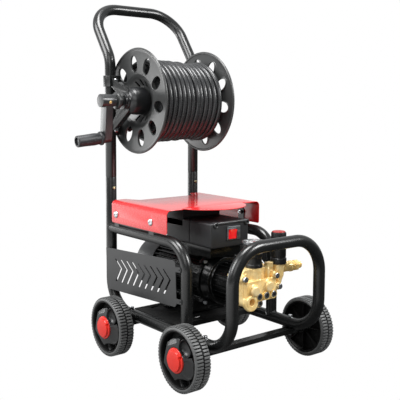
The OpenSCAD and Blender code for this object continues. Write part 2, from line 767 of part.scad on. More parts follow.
module crank() {
  color("#1f2022") difference() {
    union() {
      crank_hub_frame() {
        translate([-arm_t, 0, 0]) along_x() cylinder(h = arm_t + 16, d = crank_hub_d);
        along_x() cylinder(h = hub_end - arm_t - hub_in, d = crank_hub_d - 5);
      }
      crank_frame() {
        translate([-arm_t / 2, -arm_w / 2, -crank_len]) cube([arm_t, arm_w, crank_len]);
        translate([-arm_t / 2, 0, -crank_len]) along_x() cylinder(h = arm_t, d = arm_w);
        // pin with its head
        translate([-arm_t / 2, 0, -crank_len]) along_x() mirror([0, 0, 1]) {
          cylinder(h = grip_len - 7, d = grip_pin_d);
          translate([0, 0, grip_len - 7.5]) cylinder(h = 3, d = grip_pin_d + 6);
        }
      }
    }
    crank_hub_frame() along_y() cylinder(h = crank_hub_d, d = grub_d);
  }
}

module grub_screw() {
  color("#caa24a") crank_hub_frame() along_y() rotate_extrude() polygon([[0, crank_hub_d / 2 - 8], [grub_d / 2, crank_hub_d / 2 - 8],
    [grub_d / 2, crank_hub_d / 2], [grub_d / 2 - 1, crank_hub_d / 2 + 1], [1.8, crank_hub_d / 2 + 1], [1.8, crank_hub_d / 2 - 2], [0, crank_hub_d / 2 - 2]]);
}

module crank_grip() {
  rb = grip_pin_d / 2 + grip_play;
  r1 = grip_d1 / 2;
  r2 = grip_d2 / 2;
  color("#2a2b2d") crank_frame() translate([-arm_t / 2 - 0.5, 0, -crank_len]) along_x() mirror([0, 0, 1]) rotate_extrude() polygon([[rb, 0], [r1 - 3, 0], [r1, 3], [r1, 8],
    [r1 - 4, 11], [r2 + 1, 30], [r2, 60], [r2, grip_len - 2], [r2 - 2, grip_len], [grip_pin_d, grip_len], [grip_pin_d, grip_len - 9], [rb, grip_len - 9]]);
}

// Control box

module control_box() {
  cz = box_z + box_h / 2;
  color("#2c2e30") place() difference() {
    union() {
      translate([0, box_back, cz]) along_y() linear_extrude(box_back + box_front) rrect(box_w, box_h, 7);
      // hinge ridge across the front with a boss at each end
      translate([boss_xs[0], -box_front, box_z + box_h - 2]) along_x() cylinder(h = boss_xs[1] - boss_xs[0], d = 10);
      for (x = boss_xs) translate([x, -box_front + 10, box_z + box_h - 6]) along_y() cylinder(h = 15, d = 17);
    }
    // joint line between the box and its rear part
    translate([0, 12, cz]) along_y() linear_extrude(3) difference() {
      rrect(box_w + 10, box_h + 10, 7);
      rrect(box_w - 3, box_h - 3, 6);
    }
    // pocket behind the rocker
    translate([switch_x - 6 - rocker_w / 2 - 1, -box_front - 1, switch_z - 2 - rocker_h / 2 - 1]) cube([rocker_w + 2, 26, rocker_h + 2]);
    for (x = boss_xs) translate([x, -box_front - 1, box_z + box_h - 6]) along_y() cylinder(h = 9, d = 8, center = true);
  }
}

module switch_plate() {
  color("#77797c") place() translate([switch_x, -box_front, switch_z]) along_y() difference() {
    linear_extrude(4) difference() {
      rrect(switch_w, switch_h, 3);
      translate([-6, -2]) rrect(rocker_w + 1.6, rocker_h + 1.6, 1);
    }
    // marks for on and off, cut into the plate
    translate([switch_w / 2 - 8, 9, 3.4]) linear_extrude(2) difference() { circle(d = 7); circle(d = 5); }
    translate([switch_w / 2 - 8, -12, 3.4]) linear_extrude(2) square([1.2, 7], center = true);
  }
}

module rocker() {
  h = rocker_h / 2;
  color("#e0262c") place() translate([switch_x - 6, -box_front + 2, switch_z - 2]) rotate([rocker_a, 0, 0]) along_x() {
    linear_extrude(rocker_w, center = true) polygon([[-h + 1, -8], [0, -6], [h - 1, -8], [h - 1, 2], [7, 10], [-7, 10], [-h + 1, 2]]);
    cylinder(h = rocker_w + 1.2, d = 3.2, center = true);
  }
}

// Motor

module foot_bolts() { place() for (x = [-1, 1], y = foot_ys) translate([x * motor_foot_w / 2, y, rail_top]) children(); }

module motor_body() {
  root_r = motor_r - fin_h;
  color("#28292b") difference() {
    place() {
      translate([0, motor_back, motor_z]) along_y() linear_extrude(motor_back + motor_front) {
        circle(r = root_r, $fn = 64);
        for (i = [0 : fin_count - 1]) rotate(i * 360 / fin_count) translate([root_r - 3, -1.2]) square([fin_h + 3, 2.4]);
      }
      translate([0, motor_back + 6, motor_z]) along_y() cylinder(h = 8, r = cowl_r - cowl_t);
      translate([-48, -4, motor_z + root_r - 16]) cube([96, 84, box_z - motor_z - root_r + 16]);
      for (y = foot_ys) {
        translate([-motor_foot_w / 2 - 15, y - 14, rail_top]) cube([motor_foot_w + 30, 28, 6]);
        translate([-44, y - 10, rail_top]) cube([88, 20, 50]);
      }
    }
    foot_bolts() cylinder(h = 40, d = foot_bolt_d + 2 * bolt_play, center = true);
    place() translate([0, motor_back + 10, motor_z]) along_y() cylinder(h = 50, r = shaft_d / 2 + shaft_play);
  }
}

module motor_bell() {
  color("#232426") place() difference() {
    union() {
      translate([0, -motor_front, motor_z]) along_y() linear_extrude(12) {
        circle(r = motor_r);
        for (i = [0 : 3]) rotate(45 + 90 * i) translate([motor_r - 4, -11]) square([14, 22]);
      }
      translate([0, -motor_front - 11, motor_z]) along_y() cylinder(h = ring_y - motor_front - 11, r1 = motor_r - 6, r2 = ring_d / 2 - 4);
    }
    for (i = [0 : 3]) translate([0, -motor_front + 1, motor_z]) along_y() rotate(45 + 90 * i) translate([motor_r + 3, 0, 0]) cylinder(h = 20, d = 6.4);
  }
}

module motor_bolts() {
  color("#b9bbbe") foot_bolts() {
    translate([0, 0, -9]) cylinder(h = 20, d = foot_bolt_d);
    translate([0, 0, 6]) cylinder(h = 5.5, d = 13, $fn = 6);
    translate([0, 0, -base_t - 5.5]) cylinder(h = 5.5, d = 13, $fn = 6);
  }
  color("#d0d1d3") place() for (i = [0 : 3]) translate([0, -motor_front - 12, motor_z]) along_y() rotate(45 + 90 * i) translate([motor_r + 3, 0, 0]) {
    translate([0, 0, -10]) cylinder(h = 12, d = 6);
    difference() {
      cylinder(h = 6, d = 11);
      translate([0, 0, 3]) cylinder(h = 4, d = 6, $fn = 6);
    }
  }
}

module fan_cowl() {
  ri = cowl_r - cowl_t;
  color("#35373a") place() translate([0, cowl_back, motor_z]) along_y() difference() {
    union() {
      cylinder(h = cowl_back - motor_back, r = cowl_r);
    }
    translate([0, 0, 2.5]) cylinder(h = cowl_back, r = ri);
    // air slots in the rear face
    for (i = [0 : 23]) rotate(15 * i) translate([56, 0, -1]) linear_extrude(5) slot2d(34, 6);
    for (i = [0 : 11]) rotate(30 * i) translate([27, 0, -1]) linear_extrude(5) slot2d(16, 6);
  }
}

module motor_fan() {
  h = cowl_back - motor_back - 26;
  color("#1c1d1f") place() translate([0, motor_back + 12, motor_z]) mirror([0, 1, 0]) along_y() {
    translate([0, 0, -48]) cylinder(h = 48 + h + 4, d = shaft_d);
    cylinder(h = h, r = 20);
    for (i = [0 : blade_count - 1]) rotate(i * 360 / blade_count) translate([16, -1.2, 2]) cube([cowl_r - cowl_t - 24, 2.4, h - 4]);
    cylinder(h = 2.5, r = cowl_r - cowl_t - 8);
  }
}

// Pump

module pump_housing() {
  br = ring_d / 2 - 18;
  color("#1a1b1c") place() difference() {
    union() {
      translate([0, -ring_y, motor_z]) along_y() cylinder(h = 8, d = ring_d);
      translate([0, -ring_y - 6, motor_z]) along_y() linear_extrude(head_y - ring_y - 6) {
        circle(r = br);
        for (i = [0 : 19]) rotate(i * 18) translate([br - 3, -1.6]) square([11, 3.2]);
      }
      translate([0, -head_y + 8, motor_z]) along_y() cylinder(h = 8, r = br + 8);
      // filler neck
      translate([0, -oil_y, motor_z + br - 6]) cylinder(h = 16, r = 10);
    }
    translate([0, -oil_y, motor_z + br - 4]) cylinder(h = 16, r = oil_r + stem_play);
  }
}

module oil_cap() {
  color("#c3262b") place() translate([0, -oil_y, motor_z + ring_d / 2 - 18 + 10.4]) {
    rotate_extrude() polygon([[0, 0], [12, 0], [12, 6], [10, 8], [0, 8]]);
    translate([0, 0, -9]) cylinder(h = 10, r = oil_r);
  }
}

module pump_head() {
  cz = head_z + head_h / 2;
  color("#c79a3c") place() difference() {
    union() {
      // rear block and its lower front half
      translate([head_x, -head_y, cz]) along_y() linear_extrude(head_t - 14) rrect(head_w, head_h, 10);
      translate([head_x, -head_y, head_z + head_h / 3]) along_y() linear_extrude(head_t) rrect(head_w - 6, 2 * head_h / 3, 10);
      // upright boss under the gauge, and the rib beside it
      translate([gauge_x, -gauge_y, head_z + 10]) cylinder(h = head_h - 9, r = 24);
      translate([22, -head_front + 4, head_z + 12]) cube([8, 30, head_h - 14]);
      // block between gauge and regulator
      translate([24, -head_front + 6, head_z + head_h - 2]) cube([22, 16, 14]);
      // lobes of the lower plug and the inlet
      translate([lower_x, -head_y, lower_z]) along_y() cylinder(h = head_t, r = 13);
      translate([inlet_x, -head_y, inlet_z]) along_y() cylinder(h = head_t + 6, r = inlet_d / 2 + 9);
      // ears for the head bolts
      for (k = ear_at) translate([k[0], -head_y, k[1]]) along_y() cylinder(h = head_t, r = 11);
      // arm to the regulator
      translate([head_w / 2 - 14, -reg_y, reg_z - 18]) along_x() cylinder(h = reg_x - head_w / 2 + 14, r = 12);
    }
    translate([inlet_x, -head_front + 30, inlet_z]) along_y() cylinder(h = 60, r = inlet_d / 2);
    translate([reg_x, -reg_y, 0]) reg_core();
  }
}

module cap_dome(r) {
  rotate_extrude() polygon([[0, 0], [r, 0], [r, 7], [r - 2, 10], [r - 5, 11.5], [0, 12.5]]);
}

module valve_caps() {
  color("#d2a64a") place() for (s = [-1, 1]) translate([head_x - 3 + s * cap_pitch / 2, -head_front, head_z + 42 + 3 * s]) along_y() {
    cylinder(h = 5, d = 28, $fn = 6);
    cap_dome(12.5);
  }
}

module socket_plugs() {
  color("#c9cbcd") place() for (k = plug_at) translate([k[0], -head_front, k[1]]) along_y() difference() {
    rotate_extrude() polygon([[0, 0], [10, 0], [10, 6], [8.8, 7.5], [0, 7.5]]);
    translate([0, 0, 3]) cylinder(h = 6, d = 9, $fn = 6);
  }
}

module head_bolts() {
  color("#c9cbcd") place() for (k = ear_at) translate([k[0], -head_y - head_t, k[1]]) along_y() difference() {
    rotate_extrude() polygon([[0, 0], [8, 0], [8, 7], [7, 8.5], [0, 8.5]]);
    translate([0, 0, 4]) cylinder(h = 6, d = 7.5, $fn = 6);
  }
}

module reg_core() {
  z0 = head_z + 36;
  translate([0, 0, z0]) rotate_extrude() polygon([[0, 0], [8, 0], [11, 12], [reg_r, 26], [reg_r, reg_top - z0], [0, reg_top - z0]]);
}

module regulator_body() {
  color("#c79a3c") place() translate([reg_x, -reg_y, 0]) difference() {
    union() {
      reg_core();
      translate([0, 0, reg_top - 1]) cylinder(h = 30, r = stem_r);
    }
    translate([0, 0, reg_z]) along_x() cylinder(h = 3 * reg_r, r = outlet_r);
  }
}

module outlet_fitting() {
  l = 88;
  r = outlet_r;
  color("#cda041") place() translate([reg_x, -reg_y, reg_z]) along_x() difference() {
    union() {
      rotate_extrude() polygon([[0, 0], [r, 0], [r, 18], [r + 2, 18], [r + 2, 44], [r + 4, 44], [r + 4, 52], [r, 52], [r, 58], [outlet_d / 2, 58],
        [outlet_d / 2, l - 1], [outlet_d / 2 - 1, l], [0, l]]);
      translate([0, 0, l - outlet_len - 14]) cylinder(h = 13, d = 34, $fn = 6);
    }
    translate([0, 0, 20]) cylinder(h = l, r = outlet_d / 2 - 5);
  }
}

module gauge_tower() {
  z0 = head_z + head_h + 1;
  color("#1b1c1d") place() translate([gauge_x, -gauge_y, z0]) rotate_extrude() polygon([[0, 0], [25, 0], [25, 8], [23, 10], [23, 28], [25, 30],
    [25, gauge_z - 34 - z0], [0, gauge_z - 34 - z0]]);
}

module gauge_case() {
  r = gauge_d / 2;
  z0 = gauge_z - 34;
  color("#b4b6b8") place() translate([gauge_x, -gauge_y, z0]) difference() {
    rotate_extrude() polygon([[0, 0], [13, 0], [13, 8], [r - 4, 10], [r - 1, 14], [r - 1, 26], [r, 27], [r, 33], [r - 1, 34], [r - 3, 34],
      [r - 3, 26], [0, 26]]);
    translate([0, 0, 16]) cylinder(h = 20, r = pointer_r + pointer_play);
  }
}

module gauge_glass() {
  color("#dfe8ea") place() translate([gauge_x, -gauge_y, gauge_z - 2.5]) cylinder(h = 1.6, r = gauge_d / 2 - 3);
}

module gauge_pointer() {
  r = gauge_d / 2 - 3;
  color("#c0141a") place() translate([gauge_x, -gauge_y, gauge_z - 8]) {
    translate([0, 0, -6]) cylinder(h = 9, r = pointer_r);
    translate([0, 0, 1.2]) cylinder(h = 1.8, r = 3.4);
    translate([0, 0, 1.4]) linear_extrude(0.8) rotate(pointer_rest) polygon([[-7, -1.4], [0, -1], [r - 5, -0.3], [r - 5, 0.3], [0, 1], [-7, 1.4]]);
  }
}

module knob() {
  h = knob_h - 8;
  r = knob_d / 2;
  color("#1c1d1e") place() translate([reg_x, -reg_y, reg_top + 0.5]) difference() {
    union() {
      rotate_extrude() polygon([[0, 0], [r - 1, 0], [r, 1], [r, 16], [r - 2, 18], [r - 2, h - 2], [r - 4, h], [0, h]]);
      for (i = [0 : 17]) rotate(20 * i) translate([r - 5, -1.5, 20]) cube([4.4, 3, h - 27]);
    }
    translate([0, 0, -1]) cylinder(h = 34, r = stem_r + stem_play);
  }
}

module knob_cap() {
  r = knob_d / 2;
  color("#d3222a") place() translate([reg_x, -reg_y, reg_top + 0.5 + knob_h - 8]) rotate_extrude() polygon([[0, 0], [r - 5, 0], [r - 4, 1], [r - 4, 5], [r - 7, 7.5], [0, 8]]);
}

module snap_left() { snap(-1); }
module snap_right() { snap(1); }
module axle_front() { axle(-1); }
module axle_rear() { axle(1); }
module tyre_fl() { tyre_col() wheel_at(-1, -1) tyre(); }
module hub_fl() { hub_col() wheel_at(-1, -1) hub(); }
module cap_fl() { cap_col() wheel_at(-1, -1) hub_cap(); }
module tyre_fr() { tyre_col() wheel_at(1, -1) tyre(); }
module hub_fr() { hub_col() wheel_at(1, -1) hub(); }
module cap_fr() { cap_col() wheel_at(1, -1) hub_cap(); }
module tyre_rl() { tyre_col() wheel_at(-1, 1) tyre(); }
module hub_rl() { hub_col() wheel_at(-1, 1) hub(); }
module cap_rl() { cap_col() wheel_at(-1, 1) hub_cap(); }
module tyre_rr() { tyre_col() wheel_at(1, 1) tyre(); }
module hub_rr() { hub_col() wheel_at(1, 1) hub(); }
module cap_rr() { cap_col() wheel_at(1, 1) hub_cap(); }

main_tube();
loop_left();
loop_right();
handle_tube();
base_plate();
panel_left();
panel_right();
hood();
hood_bolts();
axle_front();
axle_rear();
axle_bolts();
control_box();
switch_plate();
motor_body();
motor_bell();
fan_cowl();
pump_housing();
pump_head();
valve_caps();
socket_plugs();
head_bolts();
regulator_body();
outlet_fitting();
gauge_tower();
gauge_case();
gauge_glass();
bracket_left();
bracket_right();
reel_bells();
clamp_bolts();
tyre_fl();
hub_fl();
cap_fl();
tyre_fr();
hub_fr();
cap_fr();
tyre_rl();
hub_rl();
cap_rl();
tyre_rr();
hub_rr();
cap_rr();
flange_left();
flange_right();
drum();
hose_coil();
crank();
grub_screw();
crank_grip();
rocker();
knob();
knob_cap();
gauge_pointer();
motor_fan();
snap_left();
snap_right();
oil_cap();
motor_bolts();
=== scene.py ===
# %% [markdown]
# # A pressure washer on a tube cart
# The CAD model gives every size and every moving body. Here the same machine gets its looks: smooth bent pipe, a
# lacquered hood, cast brass, rubber tread and a wound hose. Everything stays in metres, in the CAD model's frame.

# %% Start: tools and the CAD frame
import json
import math

import bmesh
import bpy
import numpy as np
from mathutils import Matrix, Vector


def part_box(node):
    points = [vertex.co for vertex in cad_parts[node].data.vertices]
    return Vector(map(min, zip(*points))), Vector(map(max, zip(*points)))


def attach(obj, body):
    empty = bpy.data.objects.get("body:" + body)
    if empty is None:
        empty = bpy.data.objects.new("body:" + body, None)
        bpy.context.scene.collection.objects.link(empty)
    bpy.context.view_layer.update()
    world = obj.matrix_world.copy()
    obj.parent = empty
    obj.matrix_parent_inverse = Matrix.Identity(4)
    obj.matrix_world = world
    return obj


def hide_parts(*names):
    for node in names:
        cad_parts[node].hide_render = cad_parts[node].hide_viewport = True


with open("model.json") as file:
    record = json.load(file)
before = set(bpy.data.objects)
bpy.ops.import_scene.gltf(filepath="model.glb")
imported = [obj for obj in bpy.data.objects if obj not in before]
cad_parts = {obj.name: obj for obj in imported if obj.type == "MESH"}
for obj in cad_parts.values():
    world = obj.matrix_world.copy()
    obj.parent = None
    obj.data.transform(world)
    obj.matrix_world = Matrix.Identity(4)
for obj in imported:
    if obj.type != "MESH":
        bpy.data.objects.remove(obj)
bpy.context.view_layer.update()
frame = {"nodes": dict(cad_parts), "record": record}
scene = bpy.context.scene

# %% [markdown]
# The cart is easiest to think about from its own middle: x = 0 between the posts, y = 0 between the axles, z = 0 on
# the floor, in millimetres, with the pump towards -y. These few sizes are the CAD model's, and the pieces below take
# their places from them. The CAD frame's origin is under the middle of the whole machine instead, so two offsets,
# read from the frame tube, turn cart millimetres into frame metres.

# %% Main sizes of the cart
TUBE_R, LOOP_R = 17.0, 16.5     # pipe of the frame and of the side loops
POST_X, POST_Y = 164, 303       # posts that carry the handle
HOOP_Y, HOOP_Z = -297, 390      # hoop round the pump
RAIL_Z, SEAM_Z = 114, 535       # bottom rails, and the seam where the handle plugs in
LEG_Y, LOOP_Z = -100, 373       # side loops: their leg and their top rail
TAB_Y, BOLT_Z = (58, 250), 421  # tabs that the hood is screwed to
AXLE_Y, WHEEL_X, WHEEL_R = 184, 236.5, 90
REEL_Y, REEL_Z = 191, 776
HEAD_Y = -236                   # front face of the pump head

# %% Cart millimetres to frame metres
low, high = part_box("main_tube")
MID_X = (low.x + high.x) * 500
MID_Y = low.y * 1000 - (HOOP_Y - TUBE_R)
TO_FRAME = Matrix.Translation((MID_X / 1000, MID_Y / 1000, 0)) @ Matrix.Scale(0.001, 4)
print("cart middle in the frame, mm:", round(MID_X, 2), round(MID_Y, 2))

# %% [markdown]
# ## Camera and studio
# A long lens from the crank side of the pump end, a little below the reel's height, nearly level. The lens shift
# slides the machine a little right and up in the view without turning the camera. A camera tilted for that instead
# would make the posts lean together.

# %% Camera
YAW, PITCH, ROLL = -0.689, 0.096, 0.006
STAND = (-1357.283, -1687.218, 761.243)
SENSOR, VIEW_PX, FOCAL_PX = 36.0, 400, 721.376
AXIS_PX = (218.824, 175.782)


def linked(name, data):
    """A new object in the scene."""
    obj = bpy.data.objects.new(name, data)
    scene.collection.objects.link(obj)
    return obj


cam_data = bpy.data.cameras.new("view")
cam_data.sensor_width = SENSOR
cam_data.lens = FOCAL_PX / VIEW_PX * SENSOR
cam_data.shift_x = (VIEW_PX / 2 - AXIS_PX[0]) / VIEW_PX
cam_data.shift_y = (AXIS_PX[1] - VIEW_PX / 2) / VIEW_PX
cam_data.dof.use_dof = False
ahead = Vector((-math.sin(YAW) * math.cos(PITCH), math.cos(YAW) * math.cos(PITCH), -math.sin(PITCH)))
level = Vector((math.cos(YAW), math.sin(YAW), 0))
above = level.cross(ahead)
right = level * math.cos(ROLL) + above * math.sin(ROLL)
up = above * math.cos(ROLL) - level * math.sin(ROLL)
camera = linked("camera", cam_data)
camera.matrix_world = Matrix.Translation(TO_FRAME @ Vector(STAND)) @ Matrix((right, up, -ahead)).transposed().to_4x4()
scene.camera = camera
print("lens", round(cam_data.lens, 2), "mm, shift", round(cam_data.shift_x, 4), round(cam_data.shift_y, 4))


# %% Colour and node helpers
def linear(code):
    """A colour written as sRGB hex, as the linear numbers that a shader wants."""
    parts = [int(code[i:i + 2], 16) / 255 for i in (1, 3, 5)]
    return tuple(c / 12.92 if c <= 0.04045 else ((c + 0.055) / 1.055) ** 2.4 for c in parts) + (1.0,)


def add(tree, kind, inputs=None, **settings):
    """Adds one node: settings are its properties, inputs its sockets' values or the sockets that feed them."""
    node = tree.nodes.new(kind)
    for key, value in settings.items():
        setattr(node, key, value)
    for key, value in (inputs or {}).items():
        if isinstance(value, bpy.types.NodeSocket):
            tree.links.new(value, node.inputs[key])
        else:
            node.inputs[key].default_value = value
    return node


def ranged(tree, value, span, result):
    """A value stretched from one span of numbers to another."""
    return add(tree, "ShaderNodeMapRange", {
        "Value": value, "From Min": span[0], "From Max": span[1], "To Min": result[0], "To Max": result[1]}).outputs[0]


def new_material(name):
    """A material and its empty tree."""
    mat = bpy.data.materials.new(name)
    mat.use_nodes = True
    mat.node_tree.nodes.clear()
    return mat, mat.node_tree


# %% [markdown]
# The studio is a white room as the camera sees it. What the machine mirrors is different: bright cloth stands behind
# it, and the side of the camera is dark. So black pipe gets thin bright rims and a dark middle. The world does this
# by the direction of a mirrored ray, which costs nothing, where real cloth would take more lamps and more noise.

# %% World
CLOTH_WAY = (0.3, 0.92, 0.25)

world = bpy.data.worlds.new("white_room")
scene.world = world
world.use_nodes = True
world.cycles.sampling_method = "NONE"
tree = world.node_tree
tree.nodes.clear()
rays = add(tree, "ShaderNodeLightPath")
clear = add(tree, "ShaderNodeMath", {0: rays.outputs["Is Camera Ray"], 1: rays.outputs["Is Transmission Ray"]},
            operation="MAXIMUM")
where = add(tree, "ShaderNodeTexCoord")
behind = add(tree, "ShaderNodeVectorMath", {0: where.outputs["Generated"], 1: CLOTH_WAY}, operation="DOT_PRODUCT")
cloth = ranged(tree, behind.outputs["Value"], (-0.3, 0.6), (0.12, 0.75))
soft = add(tree, "ShaderNodeMix", {"Factor": rays.outputs["Is Glossy Ray"], "A": 0.26, "B": cloth}, data_type="FLOAT")
room = add(tree, "ShaderNodeBackground", {"Color": linear("#f6f7f8"), "Strength": soft.outputs[0]})
white = add(tree, "ShaderNodeBackground", {"Color": (1, 1, 1, 1), "Strength": 1.0})
both = add(tree, "ShaderNodeMixShader", {0: clear.outputs[0], 1: room.outputs[0], 2: white.outputs[0]})
add(tree, "ShaderNodeOutputWorld", {"Surface": both.outputs[0]})
print("white room with a bright side behind the machine")

# %% [markdown]
# The floor is white paper. The camera sees it pure white, so the machine stands free. A mirrored ray sees it brighten
# towards the rear left, which is what the hood's side and the flat panels catch. For all else it is a mid grey card.

# %% Floor
FLOOR_HALF, FLOOR_DROP = 9, -0.0004
GLOW_WAY = (-0.97, 0.22, 0.0)

floor_mesh = bpy.data.meshes.new("floor")
floor_mesh.from_pydata([(x * FLOOR_HALF, y * FLOOR_HALF, 0) for x, y in ((-1, -1), (1, -1), (1, 1), (-1, 1))], [],
                       [(0, 1, 2, 3)])
floor = linked("floor", floor_mesh)
floor.location.z = FLOOR_DROP
paper, tree = new_material("white_paper_floor")
paper.cycles.emission_sampling = "NONE"
rays = add(tree, "ShaderNodeLightPath")
matte = add(tree, "ShaderNodeBsdfDiffuse", {"Color": linear("#8c8c8c")})
where = add(tree, "ShaderNodeNewGeometry")
leftward = add(tree, "ShaderNodeVectorMath", {0: where.outputs["Position"], 1: GLOW_WAY}, operation="DOT_PRODUCT")
glow = ranged(tree, leftward.outputs["Value"], (0.0, 1.5), (0.06, 1.9))
mirrored = add(tree, "ShaderNodeEmission", {"Color": (1, 1, 1, 1), "Strength": glow})
seen = add(tree, "ShaderNodeMixShader", {0: rays.outputs["Is Glossy Ray"], 1: matte.outputs[0], 2: mirrored.outputs[0]})
plain = add(tree, "ShaderNodeEmission", {"Color": (1, 1, 1, 1), "Strength": 1.0})
mixed = add(tree, "ShaderNodeMixShader", {0: rays.outputs["Is Camera Ray"], 1: seen.outputs[0], 2: plain.outputs[0]})
add(tree, "ShaderNodeOutputMaterial", {"Surface": mixed.outputs[0]})
floor_mesh.materials.append(paper)
print("floor", 2 * FLOOR_HALF, "m wide")

# %% [markdown]
# Five soft boxes give the form. They stand high, above the line where the hood's flat top would mirror them to a
# viewer at its side, because a mirrored lamp would burn the red paint out to white. The low card at the rear left
# only draws a thin line along the posts.


# %% Lamps
def lamp(name, place, aim, size, power):
    """One soft box: a rectangular area lamp that looks at a point. Metres and watts."""
    data = bpy.data.lights.new(name, "AREA")
    data.shape = "RECTANGLE"
    data.size, data.size_y = size
    data.energy = power
    obj = linked(name, data)
    obj.location = place
    obj.rotation_euler = (Vector(aim) - Vector(place)).to_track_quat("-Z", "Y").to_euler()


lamp("left_cloth", (-2.5, 0.9, 2.4), (0, 0, 0.35), (1.7, 1.7), 112)
lamp("front_left_softbox", (-2.5, -2.3, 2.5), (0, 0, 0.3), (2.2, 2.2), 44)
lamp("front_right_strip", (1.5, -2.35, 2.1), (0, 0, 0.3), (0.9, 1.1), 98)
lamp("rear_left_card", (-0.95, 2.3, 0.62), (-0.25, 0.0, 0.15), (0.7, 0.6), 9)
lamp("top_softbox", (-0.2, -0.1, 2.6), (0, 0, 0.4), (0.9, 0.9), 58)
scene.view_settings.view_transform = "Standard"
print("studio: 5 soft boxes, white room, white floor")

# %% [markdown]
# ## Finishes
# Most of the machine is one of a few finishes: powder-coated steel, lacquered sheet, moulded plastic, rubber, cast
# or turned brass, and zinc-plated steel. One builder makes them all from a short recipe. A slow noise shifts the
# colour between two hex values and a finer one moves the roughness. The finer one also lifts the surface by some
# hundredths of a millimetre, at the size in millimetres that the real texture has. Smooth paint has almost no relief,
# so below two hundredths of a millimetre it fades out.

# %% Finish builder
FULL_RELIEF = 0.02
COLOUR_STOPS = (0.32, 0.68)
COAT_ROUGH = 0.08


def finish(name, dark, light, rough, metallic=0.0, ior=1.5, cloud_mm=60, grain_mm=1.2, relief_mm=0.02, coat=0.0,
           stretch=(1, 1, 1)):
    """A surface that drifts between two colours and two roughnesses, with a fine relief of a real size."""
    mat, tree = new_material(name)
    place = add(tree, "ShaderNodeTexCoord")
    drawn = add(tree, "ShaderNodeMapping", {"Vector": place.outputs["Object"], "Scale": stretch})
    cloud = add(tree, "ShaderNodeTexNoise", {"Vector": drawn.outputs[0], "Scale": 1000 / cloud_mm, "Detail": 3.0})
    ramp = add(tree, "ShaderNodeValToRGB", {"Fac": cloud.outputs["Fac"]})
    for stop, place_on, colour in zip(ramp.color_ramp.elements, COLOUR_STOPS, (dark, light)):
        stop.position, stop.color = place_on, linear(colour)
    grain = add(tree, "ShaderNodeTexNoise", {"Vector": drawn.outputs[0], "Scale": 1000 / grain_mm, "Detail": 2.0})
    bump = add(tree, "ShaderNodeBump", {"Height": grain.outputs["Fac"], "Distance": relief_mm / 1000,
                                        "Strength": min(1.0, relief_mm / FULL_RELIEF)})
    skin = add(tree, "ShaderNodeBsdfPrincipled", {
        "Base Color": ramp.outputs["Color"], "Roughness": ranged(tree, grain.outputs["Fac"], (0.3, 0.7), rough),
        "Normal": bump.outputs[0], "Metallic": metallic, "IOR": ior, "Coat Weight": coat, "Coat Roughness": COAT_ROUGH})
    add(tree, "ShaderNodeOutputMaterial", {"Surface": skin.outputs[0]})
    return mat


# %% [markdown]
# Paint, plastic and rubber differ less in colour than in how they shine: all are near black here, so the roughness
# pair does most of the telling apart. Brass gets little metal in its recipe on purpose. A true mirror metal would
# show the white room and the dark side as hard patches, while cast brass scatters them into one warm yellow.

